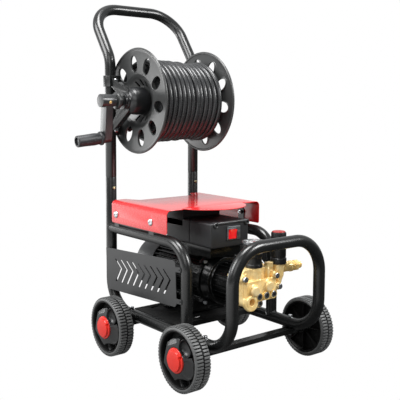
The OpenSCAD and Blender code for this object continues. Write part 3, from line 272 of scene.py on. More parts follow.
# %% Finishes of the machine
FINISH = {
    # polyester powder on pipe: black, satin and smooth
    "frame_paint": finish("powder_coated_steel_black", "#141515", "#191a1a", (0.26, 0.275),
                          grain_mm=4.0, relief_mm=0.001),
    # two-coat lacquer on pressed sheet: clean saturated red under a clear coat
    "red_paint": finish("red_lacquered_sheet_steel", "#cc0e13", "#d21116", (0.26, 0.28),
                        grain_mm=4.0, relief_mm=0.001, coat=0.7),
    # a rougher black on the folded base, which lies in the machine's own shade
    "plate_black": finish("textured_powder_black", "#0b0c0c", "#131414", (0.62, 0.75),
                          grain_mm=0.9, relief_mm=0.05, ior=1.35),
    # the same powder in dark grey on flat sheet
    "panel_paint": finish("powder_coated_sheet_grey", "#1f2021", "#262728", (0.38, 0.44), grain_mm=1.6),
    # satin enamel on pressed reel discs
    "reel_paint": finish("satin_enamel_steel_grey", "#313232", "#373838", (0.285, 0.305),
                         grain_mm=2.2, relief_mm=0.004),
    # gloss paint over a casting, and duller paint on the pressed cowl behind it
    "motor_paint": finish("painted_aluminium_casting", "#030404", "#060707", (0.2, 0.27),
                          grain_mm=1.6, relief_mm=0.015, ior=1.4),
    "cowl_paint": finish("painted_pressed_cowl", "#2a2c2f", "#35373a", (0.34, 0.44), grain_mm=1.4),
    # spark-eroded ABS: even fine grain, dull sheen; the ridge is a lighter, glossier grey, as painted highlight
    "box_plastic": finish("textured_abs_black", "#17181a", "#1e1f21", (0.42, 0.55), grain_mm=0.8, relief_mm=0.03),
    "painted_highlight_grey": finish("moulded_grey_painted_highlight", "#2b2c2d", "#323334", (0.29, 0.32), grain_mm=1.2, relief_mm=0.005),
    "black_plastic": finish("moulded_nylon_black", "#111213", "#1a1b1c", (0.34, 0.46), grain_mm=0.7),
    # stainless plate, brushed along its length: the noise is squeezed across the brush strokes
    "switch_metal": finish("brushed_stainless_plate", "#7d8083", "#9a9da0", (0.28, 0.42), metallic=1.0,
                           stretch=(1, 18, 18), grain_mm=14, relief_mm=0.01, cloud_mm=120),
    # three reds: a clear polycarbonate rocker, polypropylene wheel caps, and a dull insert in the knob
    "switch_red": finish("moulded_polycarbonate_red", "#e3101a", "#f01a24", (0.16, 0.22),
                         ior=1.58, relief_mm=0.004, coat=0.3),
    "cap_red": finish("moulded_polypropylene_red", "#cc2216", "#d82d20", (0.3, 0.38), grain_mm=0.8, relief_mm=0.01),
    "knob_red": finish("knob_insert_red", "#86140f", "#921711", (0.34, 0.4), grain_mm=0.8, relief_mm=0.01),
    # carbon-filled rubber from a mould: matt, with a little bloom; the groove floor gets a darker copy of it, as
    # painted shade
    "tyre": finish("moulded_tyre_rubber", "#4c4d4d", "#5a5b5b", (0.42, 0.56), grain_mm=0.9, relief_mm=0.05, ior=1.52),
    "tread_shade": finish("tyre_rubber_painted_groove_shade", "#08090a", "#0e0f0f", (0.7, 0.8),
                          grain_mm=0.9, relief_mm=0.05, ior=1.3),
    "hub_plastic": finish("moulded_polypropylene_black", "#131415", "#1b1c1d", (0.3, 0.42), grain_mm=1.0),
    # a darker copy of the hub plastic for the barrel, web and ribs: painted shade in the recess round the hub
    "hub_shade": finish("moulded_black_painted_shade", "#060606", "#0b0b0b", (0.5, 0.62), grain_mm=1.0, ior=1.35),
    # brass as it leaves the sand, off the lathe, and faced flat
    "brass": finish("sand_cast_brass", "#ecc47a", "#ffe6a8", (0.22, 0.32), metallic=0.25,
                    grain_mm=1.1, relief_mm=0.04, cloud_mm=22),
    "brass_turned": finish("turned_brass", "#e2bb6c", "#fbdf9c", (0.14, 0.22), metallic=0.4,
                           grain_mm=0.8, relief_mm=0.006, cloud_mm=30),
    "brass_pale": finish("faced_brass", "#e6c88c", "#f3dcaa", (0.24, 0.34), metallic=0.3,
                         grain_mm=0.8, relief_mm=0.006, cloud_mm=30),
    "bell_gloss": finish("gloss_enamel_black", "#0f1011", "#18191b", (0.3, 0.38), grain_mm=2.4, relief_mm=0.006),
    "dial_white": finish("printed_dial_white", "#e9ebec", "#f4f5f5", (0.4, 0.5), grain_mm=0.8, relief_mm=0.002),
    "gauge_steel": finish("polished_stainless_case", "#707274", "#888a8b", (0.22, 0.3), metallic=0.8,
                          grain_mm=2.0, relief_mm=0.004),
    # zinc plate clouds over within millimetres
    "steel": finish("zinc_plated_steel", "#b9bcc0", "#d2d4d6", (0.2, 0.32), metallic=1.0,
                    grain_mm=0.8, relief_mm=0.01, cloud_mm=6),
    "hose_rubber": finish("extruded_hose_rubber", "#272829", "#2e2f30", (0.26, 0.28), grain_mm=3.0, relief_mm=0.002),
    "grip_plastic": finish("soft_touch_grip_black", "#1b1c1e", "#262729", (0.4, 0.52), grain_mm=0.6),
    "button_plastic": finish("brass_plated_button", "#8d8266", "#a89b78", (0.3, 0.4), metallic=1.0,
                             grain_mm=0.8, relief_mm=0.01),
}

# %% Gauge pane, and a finish for every CAD node
FINISH["glass"], tree = new_material("clear_polycarbonate_pane")
dust = add(tree, "ShaderNodeTexNoise", {"Scale": 160.0, "Detail": 2.0})
pane = add(tree, "ShaderNodeBsdfPrincipled", {
    "Base Color": (1, 1, 1, 1), "Roughness": ranged(tree, dust.outputs["Fac"], (0.0, 1.0), (0.02, 0.06)),
    "IOR": 1.49, "Transmission Weight": 1.0, "Alpha": 0.35})
add(tree, "ShaderNodeOutputMaterial", {"Surface": pane.outputs[0]})
print(len(FINISH), "finishes")

SLOT = {part["node"]: part["material_slot"] for part in frame["record"]["subparts"]}
for node, obj in frame["nodes"].items():
    obj.data.materials.clear()
    obj.data.materials.append(FINISH[SLOT[node]])
print(len(SLOT), "CAD nodes dressed")

# %% [markdown]
# ## Shaping tools
# Three old ways of making metal and rubber cover most of the cart: pipe is bent (a circle swept along a path), round
# things are turned (a profile spun round an axis), and sheet is cut and folded (an outline with holes, given a
# thickness). Each helper returns plain points and faces in cart millimetres, so pieces can be joined before they
# become one mesh.


# %% Bent pipe
def per_item(value, count):
    """One value for each of several items, from such a list or from one number for all."""
    return value if isinstance(value, (list, tuple)) else [value] * count


def full_turn(count):
    """The angles of a full turn in equal steps."""
    return [2 * math.pi * k / count for k in range(count)]


def ring_faces(rows, sides, closed=False):
    """Four-sided faces between neighbouring rings, for points that are listed ring after ring."""
    faces = []
    for i in range(rows if closed else rows - 1):
        lo, hi = i * sides, (i + 1) % rows * sides
        faces += [(lo + k, lo + (k + 1) % sides, hi + (k + 1) % sides, hi + k) for k in range(sides)]
    return faces


def bent_path(corners, radius, step=5.0):
    """Points along straight runs, with every inner corner turned into a bend of its centre-line radius."""
    corners = [Vector(c) for c in corners]
    path = [corners[0]]
    for before, corner, after, bend in zip(corners, corners[1:], corners[2:], per_item(radius, len(corners) - 2)):
        come, leave = (corner - before).normalized(), (after - corner).normalized()
        angle = come.angle(leave)
        inward = come.cross(leave).normalized().cross(come)
        start = corner - come * bend * math.tan(angle / 2)
        centre = start + inward * bend
        count = max(4, int(bend * angle / step))
        path += [centre + (come * math.sin(a) - inward * math.cos(a)) * bend
                 for a in (angle * i / count for i in range(count + 1))]
    return path + [corners[-1]]


def sweep(path, radius, sides=32, closed=False):
    """A tube along a path. The ring of points is carried along without twisting; radius may be one per point."""
    path = [Vector(p) for p in path]
    count = len(path)
    radii = per_item(radius, count)
    ahead_of = []
    for i in range(count):
        a = path[i - 1] if i or closed else path[i]
        b = path[(i + 1) % count] if i < count - 1 or closed else path[i]
        ahead_of.append((b - a).normalized())
    side = ahead_of[0].orthogonal().normalized()
    verts = []
    for i, (point, tangent) in enumerate(zip(path, ahead_of)):
        if i:
            side = (ahead_of[i - 1].rotation_difference(tangent) @ side).normalized()
            side = (side - tangent * side.dot(tangent)).normalized()
        other = tangent.cross(side)
        verts += [point + (side * math.cos(a) + other * math.sin(a)) * radii[i] for a in full_turn(sides)]
    faces = ring_faces(count, sides, closed)
    if not closed:
        faces += [tuple(reversed(range(sides))), tuple(range((count - 1) * sides, count * sides))]
    return verts, faces


# %% Turned shapes, cut sheet and blocks
def lathe(profile, sides=64, closed=False):
    """Spins a profile of (radius, height) points round Z. A point at radius 0 becomes a pole."""
    verts, rows, faces = [], [], []
    for r, h in profile:
        if r < 1e-6:
            rows.append([len(verts)] * sides)
            verts.append(Vector((0, 0, h)))
        else:
            rows.append(list(range(len(verts), len(verts) + sides)))
            verts += [Vector((r * math.cos(a), r * math.sin(a), h)) for a in full_turn(sides)]
    pairs = list(zip(rows, rows[1:])) + ([(rows[-1], rows[0])] if closed else [])
    for lo, hi in pairs:
        for k in range(sides):
            face = tuple(dict.fromkeys((lo[k], lo[(k + 1) % sides], hi[(k + 1) % sides], hi[k])))
            if len(face) > 2:
                faces.append(face)
    return verts, faces


def result_of(obj):
    """What an object shows with its modifiers, as a mesh. The object itself is removed."""
    made = bpy.data.meshes.new_from_object(obj.evaluated_get(bpy.context.evaluated_depsgraph_get()))
    obj.modifiers.clear()
    bpy.data.objects.remove(obj)
    return made


def listed(mesh):
    """A mesh as plain points and faces."""
    return [v.co.copy() for v in mesh.vertices], [tuple(p.vertices) for p in mesh.polygons]


def sheet_cut(outline, holes=(), thickness=2.0, edge=0.3):
    """A flat plate in XY from z = 0 up, with holes and rounded edges, cut the way a filled curve is."""
    curve = bpy.data.curves.new("cut", "CURVE")
    curve.dimensions, curve.fill_mode = "2D", "BOTH"
    curve.extrude, curve.bevel_depth, curve.bevel_resolution, curve.offset = thickness / 2 - edge, edge, 2, -edge
    for line in [outline, *holes]:
        spline = curve.splines.new("POLY")
        spline.points.add(len(line) - 1)
        for point, (x, y) in zip(spline.points, line):
            point.co = (x, y, 0, 1)
        spline.use_cyclic_u = True
    return moved(listed(result_of(linked("cut", curve))), Matrix.Translation((0, 0, thickness / 2)))


def block(low_corner, high_corner):
    """A box between two corners."""
    (x0, y0, z0), (x1, y1, z1) = low_corner, high_corner
    verts = [Vector((x, y, z)) for z in (z0, z1) for x, y in ((x0, y0), (x1, y0), (x1, y1), (x0, y1))]
    return verts, [(3, 2, 1, 0), (4, 5, 6, 7), (0, 1, 5, 4), (1, 2, 6, 5), (2, 3, 7, 6), (3, 0, 4, 7)]


def layered(outlines):
    """A closed shape through stacked outlines, each a height and the same number of points."""
    count = len(outlines[0][1])
    verts = [Vector((x, y, z)) for z, line in outlines for x, y in line]
    ends = [tuple(reversed(range(count))), tuple(range(len(verts) - count, len(verts)))]
    return verts, ring_faces(len(outlines), count) + ends


def prism(outline, low_z, high_z):
    """An outline pulled straight up."""
    return layered([(low_z, outline), (high_z, outline)])


def circle2d(radius, count=32, cx=0.0, cy=0.0, turned=0.0):
    """Points of a circle that starts at an angle in degrees."""
    t = math.radians(turned)
    line = [(radius * math.cos(a), radius * math.sin(a)) for a in full_turn(count)]
    return [(cx + x * math.cos(t) - y * math.sin(t), cy + x * math.sin(t) + y * math.cos(t)) for x, y in line]


def round_rect(width, height, radius, cx=0.0, cy=0.0, count=6):
    """Corners-rounded rectangle, counter-clockwise."""
    line = []
    for sx, sy, first in ((1, 1, 0), (-1, 1, 90), (-1, -1, 180), (1, -1, 270)):
        for a in (math.radians(first + 90 * k / count) for k in range(count + 1)):
            line.append((cx + sx * (width / 2 - radius) + radius * math.cos(a),
                         cy + sy * (height / 2 - radius) + radius * math.sin(a)))
    return line


def moved(part, matrix):
    """The same part in another place."""
    return [matrix @ v for v in part[0]], part[1]


def lifted(part, x, y, z=0.0):
    """The same part moved without a turn."""
    return moved(part, Matrix.Translation((x, y, z)))


def spun(part, degrees):
    """The same part turned round Z."""
    return moved(part, Matrix.Rotation(math.radians(degrees), 4, "Z"))


def joined(*parts):
    """Several parts as one."""
    verts, faces = [], []
    for v, f in parts:
        faces += [tuple(i + len(verts) for i in face) for face in f]
        verts += v
    return verts, faces


# %% [markdown]
# A real edge is never perfectly sharp: it catches a thin line of light. So every piece gets its sharp edges rounded
# by a few tenths of a millimetre before it is placed, and smooth shading only where two faces nearly agree.

# %% Making a piece
BODY = {node: body for body, nodes in frame["record"]["behaviour"]["bodies"].items() for node in nodes}
SHARP = math.radians(30)        # edges that turn more than this get rounded
SAME_POINT = 2e-5               # metres between two points that are one
SAME_FACE = math.radians(0.4)   # turn between two triangles of one flat face


def rounded(bm, width, segments=2):
    """Rounds the sharp edges of a mesh."""
    sharp = [e for e in bm.edges if e.is_manifold and e.calc_face_angle() > SHARP]
    if sharp and width > 0:
        bmesh.ops.bevel(bm, geom=sharp, offset=width, segments=segments, profile=0.6, affect="EDGES",
                        clamp_overlap=True)


def outward(part, merge_mm=0.0):
    """Points and faces as a bmesh in cart millimetres. Close points can be merged; the faces look outwards."""
    bm = bmesh.new()
    made = [bm.verts.new(v) for v in part[0]]
    for face in part[1]:
        try:
            bm.faces.new([made[i] for i in face])
        except ValueError:      # a face that is there already
            pass
    if merge_mm:
        bmesh.ops.remove_doubles(bm, verts=bm.verts, dist=merge_mm)
    bmesh.ops.recalc_face_normals(bm, faces=bm.faces)
    return bm


def meshed(bm, name):
    """A bmesh as a mesh with a name."""
    mesh = bpy.data.meshes.new(name)
    bm.to_mesh(mesh)
    bm.free()
    return mesh


def register(name, mesh, slot, body, nodes=(), smooth=35.0, material=None):
    """Names a finished mesh, gives it its finish, ties it to its body, and hides the CAD nodes it stands for."""
    mesh.materials.clear()
    mesh.materials.append(material or FINISH[slot])
    mesh.shade_smooth()
    mesh.set_sharp_from_angle(angle=math.radians(smooth))
    obj = linked(name, mesh)
    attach(obj, body)
    if nodes:
        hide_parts(*nodes)
    return obj


def piece(name, part, slot, body, nodes=(), edge=0.0, smooth=35.0, material=None, merge_mm=0.0):
    """One piece of the machine from points and faces in cart millimetres."""
    bm = outward(part, merge_mm)
    rounded(bm, edge)
    bmesh.ops.transform(bm, matrix=TO_FRAME, verts=bm.verts)
    return register(name, meshed(bm, name), slot, body, nodes, smooth, material)


def dressed(name, node, edge=0.4, slot=None, material=None, segments=2):
    """A copy of a CAD node with its loose triangles merged and its edges rounded."""
    bm = bmesh.new()
    bm.from_mesh(frame["nodes"][node].data)
    bmesh.ops.remove_doubles(bm, verts=bm.verts, dist=SAME_POINT)
    bmesh.ops.dissolve_limit(bm, angle_limit=SAME_FACE, verts=bm.verts, edges=bm.edges)
    rounded(bm, edge / 1000, segments)
    return register(name, meshed(bm, name), slot or SLOT[node], BODY[node], [node], material=material)


# %% [markdown]
# ## Copies by Geometry Nodes
# Tread bars, fins, ribs, slots and screws repeat. Two small trees make them: one turns copies of an item round an
# axis, the other puts a copy at every point of a list. Both end in real geometry with its finish set, and the result
# is taken as a plain mesh.


# %% Trees for copies
def new_tree(name, sockets):
    """An empty geometry tree with its named inputs, and its input and output nodes."""
    tree = bpy.data.node_groups.new(name, "GeometryNodeTree")
    tree.interface.new_socket("Geometry", in_out="OUTPUT", socket_type="NodeSocketGeometry")
    for label, kind in [("Geometry", "Geometry"), *sockets]:
        tree.interface.new_socket(label, in_out="INPUT", socket_type="NodeSocket" + kind)
    return tree, add(tree, "NodeGroupInput").outputs, add(tree, "NodeGroupOutput")


def made_real(tree, copies, given, out):
    """The end of both trees: the copies become real geometry and get their finish."""
    real = add(tree, "GeometryNodeRealizeInstances", {"Geometry": copies.outputs[0]})
    coloured = add(tree, "GeometryNodeSetMaterial", {"Geometry": real.outputs[0], "Material": given["Finish"]})
    tree.links.new(coloured.outputs[0], out.inputs[0])


ring_tree, given, out = new_tree("copies_round_an_axis", [
    ("Count", "Int"), ("Axis", "Vector"), ("Centre", "Vector"), ("Start", "Float"), ("Step", "Float"),
    ("Finish", "Material")])
back = add(ring_tree, "ShaderNodeVectorMath", {0: given["Centre"], "Scale": -1.0}, operation="SCALE")
item = add(ring_tree, "GeometryNodeTransform", {"Geometry": given["Geometry"], "Translation": back.outputs[0]})
centres = add(ring_tree, "GeometryNodePoints", {"Count": given["Count"], "Position": given["Centre"]})
number = add(ring_tree, "GeometryNodeInputIndex")
angle = add(ring_tree, "ShaderNodeMath", {0: number.outputs[0], 1: given["Step"], 2: given["Start"]},
            operation="MULTIPLY_ADD")
facing = add(ring_tree, "FunctionNodeAxisAngleToRotation", {"Axis": given["Axis"], "Angle": angle.outputs[0]})
copies = add(ring_tree, "GeometryNodeInstanceOnPoints", {
    "Points": centres.outputs[0], "Instance": item.outputs[0], "Rotation": facing.outputs[0]})
made_real(ring_tree, copies, given, out)

spot_tree, given, out = new_tree("copies_at_points", [("Item", "Object"), ("Size", "Float"), ("Finish", "Material")])
item = add(spot_tree, "GeometryNodeObjectInfo", {"Object": given["Item"]})
facing = add(spot_tree, "GeometryNodeInputNamedAttribute", {"Name": "facing"}, data_type="FLOAT_VECTOR")
copies = add(spot_tree, "GeometryNodeInstanceOnPoints", {
    "Points": given["Geometry"], "Instance": item.outputs["Geometry"], "Rotation": facing.outputs[0],
    "Scale": given["Size"]})
made_real(spot_tree, copies, given, out)


def plain_mesh(part, edge=0.0):
    """Points and faces as a mesh in cart millimetres, with outward faces and rounded edges."""
    bm = outward(part, 0.01)
    rounded(bm, edge)
    return meshed(bm, "item")


def grown(tree, mesh, values):
    """Runs a tree on a mesh and returns what it makes as points and faces, with no modifier left."""
    obj = linked("seed", mesh)
    modifier = obj.modifiers.new(tree.name, "NODES")
    modifier.node_group = tree
    for socket in tree.interface.items_tree:
        if socket.in_out == "INPUT" and socket.name in values:
            modifier[socket.identifier] = values[socket.name]
    return listed(result_of(obj))


def copies_round(part, count, slot, start=0.0, span=360.0, edge=0.0):
    """Copies of a part round Z, equally spaced over a span of degrees."""
    return grown(ring_tree, plain_mesh(part, edge), {
        "Count": count, "Axis": (0, 0, 1), "Centre": (0, 0, 0), "Start": math.radians(start),
        "Step": math.radians(span) / count, "Finish": FINISH[slot]})


def copies_at(part, places, slot):
    """Copies of a part at a list of places, each a matrix."""
    seeds = bpy.data.meshes.new("seeds")
    seeds.from_pydata([place.translation for place in places], [], [])
    facing = seeds.attributes.new("facing", "FLOAT_VECTOR", "POINT")
    for value, place in zip(facing.data, places):
        value.vector = place.to_euler()
    item = linked("item", plain_mesh(part))
    made = grown(spot_tree, seeds, {"Item": item, "Size": 1.0, "Finish": FINISH[slot]})
    bpy.data.objects.remove(item)
    return made


def carved(part, *cutters):
    """A closed part with other closed parts cut out of it."""
    obj, *tools = [linked("cut", plain_mesh(shape)) for shape in (part, *cutters)]
    for tool in tools:
        modifier = obj.modifiers.new("cut", "BOOLEAN")
        modifier.operation, modifier.solver, modifier.object = "DIFFERENCE", "EXACT", tool
    made = listed(result_of(obj))
    for tool in tools:
        bpy.data.objects.remove(tool)
    return made


# %% [markdown]
# ## Frame
# Five bent tubes. The lower frame is one long tube that starts at one post, runs under the plate, rises into the front
# hoop and comes back on the other side. The handle plugs into it at a seam. Welds are short ripples where tubes meet.

# %% Bent tubes
KNEE_Z, GRIP_Y, GRIP_Z = 908.2, 422.4, 1078.8   # where the handle starts to lean, and its grip
SPIGOT_Z, SPIGOT_R = (463, 536), 14.8           # the handle's end inside the post
BUTTON_X, BUTTON_Z = 163.5, 501                 # the hole for the snap button
TAB_X, TAB_T = 177, 3
LIP = 1.2                                       # how far a deburred tube end is turned in
SIDES = (("left", -1), ("right", 1))


def both_sides(half):
    """A path on the left, carried on through its mirror image on the right."""
    return half + [(-x, y, z) for x, y, z in reversed(half)]


def softened_end(path, radius, sides=40):
    """A tube whose two ends are turned in a little, as a deburred cut is."""
    path = [Vector(p) for p in path]
    first, last = (path[1] - path[0]).normalized(), (path[-2] - path[-1]).normalized()
    path = [path[0], path[0] + first * LIP * 0.4, path[0] + first * LIP * 1.2, *path[1:-1],
            path[-1] + last * LIP * 1.2, path[-1] + last * LIP * 0.4, path[-1]]
    radii = [radius - LIP, radius - LIP * 0.3] + [radius] * (len(path) - 4) + [radius - LIP * 0.3, radius - LIP]
    return sweep(path, radii, sides)


LOWER = both_sides([(-POST_X, POST_Y, SEAM_Z), (-POST_X, POST_Y, RAIL_Z), (-POST_X, HOOP_Y, RAIL_Z),
                    (-POST_X, HOOP_Y, HOOP_Z)])
HANDLE = both_sides([(-POST_X, POST_Y, SEAM_Z + 0.4), (-POST_X, POST_Y, KNEE_Z), (-POST_X, GRIP_Y, GRIP_Z)])
piece("lower_frame_tube", softened_end(bent_path(LOWER, 98), TUBE_R), "frame_paint", "frame", ["main_tube"])
handle = softened_end(bent_path(HANDLE, [80, 98, 98, 80]), TUBE_R)
# each spigot has the hole that its snap button sinks into
drill = lathe([(0, -11.8), (5.1, -11.8), (5.1, 22.2), (0, 22.2)], 32)
spigots = [carved(sweep([(s * POST_X, POST_Y, z) for z in SPIGOT_Z], SPIGOT_R, 32),
                  moved(drill, Matrix.Translation((s * BUTTON_X, POST_Y, BUTTON_Z))
                        @ Matrix.Rotation(math.radians(90), 4, "X")))
           for s in (-1, 1)]
piece("handle_bar", joined(handle, *spigots), "frame_paint", "frame", ["handle_tube"])
print("frame tube and handle bent")


# %% Side loops with their tabs and welds
def weld(points, size=1.9):
    """A closed bead of weld with its ripples."""
    count = len(points)
    return sweep(points, [size * (1 + 0.22 * math.sin(k * math.pi / 2)) for k in range(count)], 8, closed=True)


def saddle(at_x, at_y, at_z, flow, count=72):
    """The line where a side loop meets the rail below it, or the post behind it."""
    line = []
    for a in full_turn(count):
        u, v = LOOP_R * math.cos(a), LOOP_R * math.sin(a)
        reach = math.sqrt(max(0.0, TUBE_R ** 2 - u ** 2))
        line.append((at_x + u, at_y + v, at_z + reach) if flow == "down" else (at_x + u, at_y - reach, at_z + v))
    return line


def upright(x, y, z):
    """Matrix for flat sheet that stands along the machine: local X to the rear, Y up, Z to the far side."""
    return Matrix(((0, 0, 1, x), (1, 0, 0, y), (0, 1, 0, z), (0, 0, 0, 1)))


tab = sheet_cut(round_rect(26, 61, 8), [circle2d(3.25, 20, 0, 17.5)], TAB_T, 0.4)
for side, sx in SIDES:
    x = sx * POST_X
    loop = sweep(bent_path([(x, LEG_Y, RAIL_Z + 2), (x, LEG_Y, LOOP_Z), (x, POST_Y - 2, LOOP_Z)], 80), LOOP_R, 40)
    tabs = [moved(tab, upright(sx * TAB_X - (TAB_T if sx > 0 else 0), y, BOLT_Z - 17.5)) for y in TAB_Y]
    inner, outer = sorted((x, sx * 176))
    feet = [block((inner, y - 12.5, 385.6), (outer, y + 12.5, 388.4)) for y in TAB_Y]
    welds = [weld(saddle(x, LEG_Y, RAIL_Z, "down")), weld(saddle(x, POST_Y, LOOP_Z, "back"))]
    piece("side_loop_" + side, joined(loop, *tabs, *feet, *welds), "frame_paint", "frame", ["loop_" + side])
print("side loops welded on")

# %% [markdown]
# ## Sheet metal
# The hood is cut flat and then bent, like the real one: the outline carries the round front tongue, the relief slits
# and the stepped rear edge, and the two long bends turn its sides down. The side panels are flat, with arrow slots.


# %% Rounded outlines
def eased(points, radii, count=5):
    """An outline with its corners rounded, each by its own radius."""
    line = []
    for i, r in enumerate(radii):
        here, before, after = Vector(points[i]), Vector(points[i - 1]), Vector(points[(i + 1) % len(points)])
        a, b = (before - here).normalized(), (after - here).normalized()
        reach = min(r / math.tan(a.angle(b) / 2), 0.49 * (before - here).length, 0.49 * (after - here).length)
        start, end = here + a * reach, here + b * reach
        for t in (k / count for k in range(count + 1)):
            line.append(tuple((1 - t) ** 2 * start + 2 * t * (1 - t) * here + t ** 2 * end))
    return line


# %% Flat outline of the hood
HOOD_HALF, HOOD_TOP, HOOD_T, BEND = 179.0, 464.0, 2.0, 14.0
SIDE_DEEP = 70
FLAT = HOOD_HALF - BEND                     # half of the flat top
MIDDLE = BEND - HOOD_T / 2                  # bend radius in the middle of the sheet
ARC = MIDDLE * math.pi / 2                  # sheet that the bend takes up
SIDE = FLAT + ARC + SIDE_DEEP - BEND        # half of the whole width when flat
TONGUE_R, TONGUE_Y = 118.0, 15.0
FRONT_Y, REAR_Y = -24, 275
BEND_STEPS = 12

root = math.asin(39 / TONGUE_R)
tongue = [(TONGUE_R * math.cos(a), TONGUE_Y - TONGUE_R * math.sin(a))
          for a in (root + (math.pi / 2 - root) * k / 30 for k in range(31))]
slit = [(112.4, -15), *[(115.4 - 3 * math.cos(a), -15 + 3 * math.sin(a))
                        for a in (math.pi * k / 8 for k in range(1, 8))], (118.4, -15)]
half = [*reversed(tongue), *slit, (118.4, FRONT_Y), (SIDE - 4, FRONT_Y), (SIDE, FRONT_Y + 4), (SIDE, REAR_Y - 4),
        (SIDE - 4, REAR_Y), (134, REAR_Y), (128, 272), (108, 231), (102, 227)]
outline = half + [(-x, y) for x, y in reversed(half[1:])]
bolt_u = FLAT + ARC + HOOD_TOP - BEND - BOLT_Z
bolt_holes = [circle2d(3.25, 20, s * bolt_u, y) for s in (-1, 1) for y in TAB_Y]
print("hood blank, mm:", round(2 * SIDE), "wide")


def folded(point):
    """Where a point of the flat hood ends up once both sides are bent down."""
    side, u = math.copysign(1, point.x), abs(point.x)
    over = point.z
    if u <= FLAT:
        return Vector((point.x, point.y, HOOD_TOP - HOOD_T + over))
    if u <= FLAT + ARC:
        a = (u - FLAT) / MIDDLE
        r = BEND - HOOD_T + over
        return Vector((side * (FLAT + r * math.sin(a)), point.y, HOOD_TOP - BEND + r * math.cos(a)))
    return Vector((side * (HOOD_HALF - HOOD_T + over), point.y, HOOD_TOP - BEND - (u - FLAT - ARC)))


# %% Hood, bent
bm = outward(sheet_cut(outline, bolt_holes, HOOD_T, 0.5), 0.001)
for s in (-1, 1):
    for k in range(BEND_STEPS + 1):
        bmesh.ops.bisect_plane(bm, geom=bm.verts[:] + bm.edges[:] + bm.faces[:],
                               plane_co=(s * (FLAT + ARC * k / BEND_STEPS), 0, 0), plane_no=(1, 0, 0))
for v in bm.verts:
    v.co = folded(v.co)
bmesh.ops.recalc_face_normals(bm, faces=bm.faces)
bmesh.ops.transform(bm, matrix=TO_FRAME, verts=bm.verts)
register("hood_sheet", meshed(bm, "hood_sheet"), "red_paint", "frame", ["hood"], smooth=40)
print("hood bent")

# %% Side panels
PANEL_LEN, PANEL_X, PANEL_T, RAKE = 377.0, 183.01, 2, math.radians(3)
PANEL_Y, PANEL_TOP = 299, 176
LUGS = (18, 108)                            # the two lugs at the front edge, down from the top
ARROWS, ARROW_STEP = 9, 32.6


def sideways(x, y, z, flip=1):
    """Matrix for a shape on an axis across the machine: local X down, Y to the rear, Z to the far side."""
    return Matrix(((0, 0, flip, x), (0, 1, 0, y), (-1, 0, 0, z), (0, 0, 0, 1)))


front_edge = [(-8, -PANEL_LEN)]
for h in LUGS:
    front_edge += [(-h + 7, -PANEL_LEN), (-h + 7, -PANEL_LEN - 24), (-h - 7, -PANEL_LEN - 24), (-h - 7, -PANEL_LEN)]
corners = [(0, 0), (0, -PANEL_LEN + 8), *front_edge, (-125, -PANEL_LEN), (-133, -PANEL_LEN + 8), (-133, 0)]
outline = eased(corners, [2, 3, 3] + [2, 5, 5, 2] * len(LUGS) + [3, 3, 2])
arrow = [(28, -37), (28, -29), (0, 4), (-44, -29), (-44, -37), (0, -4)]
slots = [eased([(-74 - x, -88 - i * ARROW_STEP - y) for x, y in arrow], [2.5, 2.5, 1.5, 2.5, 2.5, 1.5], 4)
         for i in range(ARROWS)]
slots += [circle2d(2.5, 16, -h, -PANEL_LEN - 18) for h in LUGS]
panel = sheet_cut(outline, slots, PANEL_T, 0.35)
pivot = Matrix.Translation((0, PANEL_Y, PANEL_TOP))
tilt = pivot @ Matrix.Rotation(-RAKE, 4, "X") @ pivot.inverted()
for side, sx in SIDES:
    stand = sideways(sx * (PANEL_X - PANEL_T), PANEL_Y, PANEL_TOP, sx)
    piece("side_panel_" + side, moved(panel, tilt @ stand), "panel_paint", "frame", ["panel_" + side])
print("side panels with", ARROWS, "slots each")

# %% [markdown]
# ## Wheels
# A wheel is drawn once, lying flat with its outer face up, and placed four times. The tread bars are copies turned
# round the axle by the tree, in two rows that are half a step apart.

# %% Tyre
BARS = 60                       # bars in one row of the tread
BAR_FOOT, SHOULDER = 86.2, 88.6
BAR_HALF = math.radians(360 / BARS * 0.3)

half = [(78, 19), (78.2, 22), (79, 23.6), (80.5, 24), (82.4, 24), (83.4, 23.4), (84.6, 23.2), (85.8, 22), (86.6, 20.4),
        (87, 18)]
carcass = lathe([(r, -h) for r, h in half] + half[::-1], 180, closed=True)


def tread_bar(z0, z1):
    """One bar of the tread from its inner to its outer end, with a sloped shoulder at the outer end."""
    verts = []
    for z, top in ((z0, WHEEL_R), (z0 + (z1 - z0) * 0.86, WHEEL_R), (z1, SHOULDER)):
        for a, r in ((-BAR_HALF * 1.12, BAR_FOOT), (-BAR_HALF, top), (BAR_HALF, top), (BAR_HALF * 1.12, BAR_FOOT)):
            verts.append(Vector((r * math.cos(a), r * math.sin(a), z)))
    return verts, [(0, 1, 2, 3), (11, 10, 9, 8)] + ring_faces(3, 4)


tyre = joined(carcass, copies_round(tread_bar(2.5, 22.0), BARS, "tyre", edge=0.35),
              copies_round(tread_bar(-2.5, -22.0), BARS, "tyre", start=180 / BARS, edge=0.35))
floor_band = lathe([(86.9, -20), (87.12, -19), (87.12, 19), (86.9, 20)], 180, closed=True)
print("tyre with", 2 * BARS, "bars")

# %% [markdown]
# The hub is one moulding: a barrel with a rolled lip that holds the tyre, a web with ribs behind it, and a raised
# block round the cap. The block has no even shape. Its corners stand at their own distances from the axle, and a
# round bowl bites into one side. So its outline is found by casting rays from the axle, and its face is a height
# over the wheel's plane.

# %% Hub barrel
barrel = lathe([(77.7, -22), (77.7, 19), (77.9, 21), (77, 22.4), (75.6, 22.4), (74.4, 21), (73.2, 18), (72.9, -20.6),
                (74, -22)], 128, closed=True)
web = lathe([(17, -6), (73.4, -6), (73.4, -2), (17, -2)], 96, closed=True)
boss = lathe([(7.05, -28), (17, -28), (18, -27), (18, -2), (7.05, -2)], 64, closed=True)
ribs = copies_round(block((15, -1.1, -17), (73.4, 1.1, -2.5)), 8, "hub_plastic")
barrel = joined(barrel, web, boss, ribs)
print("hub barrel:", len(barrel[0]), "points")

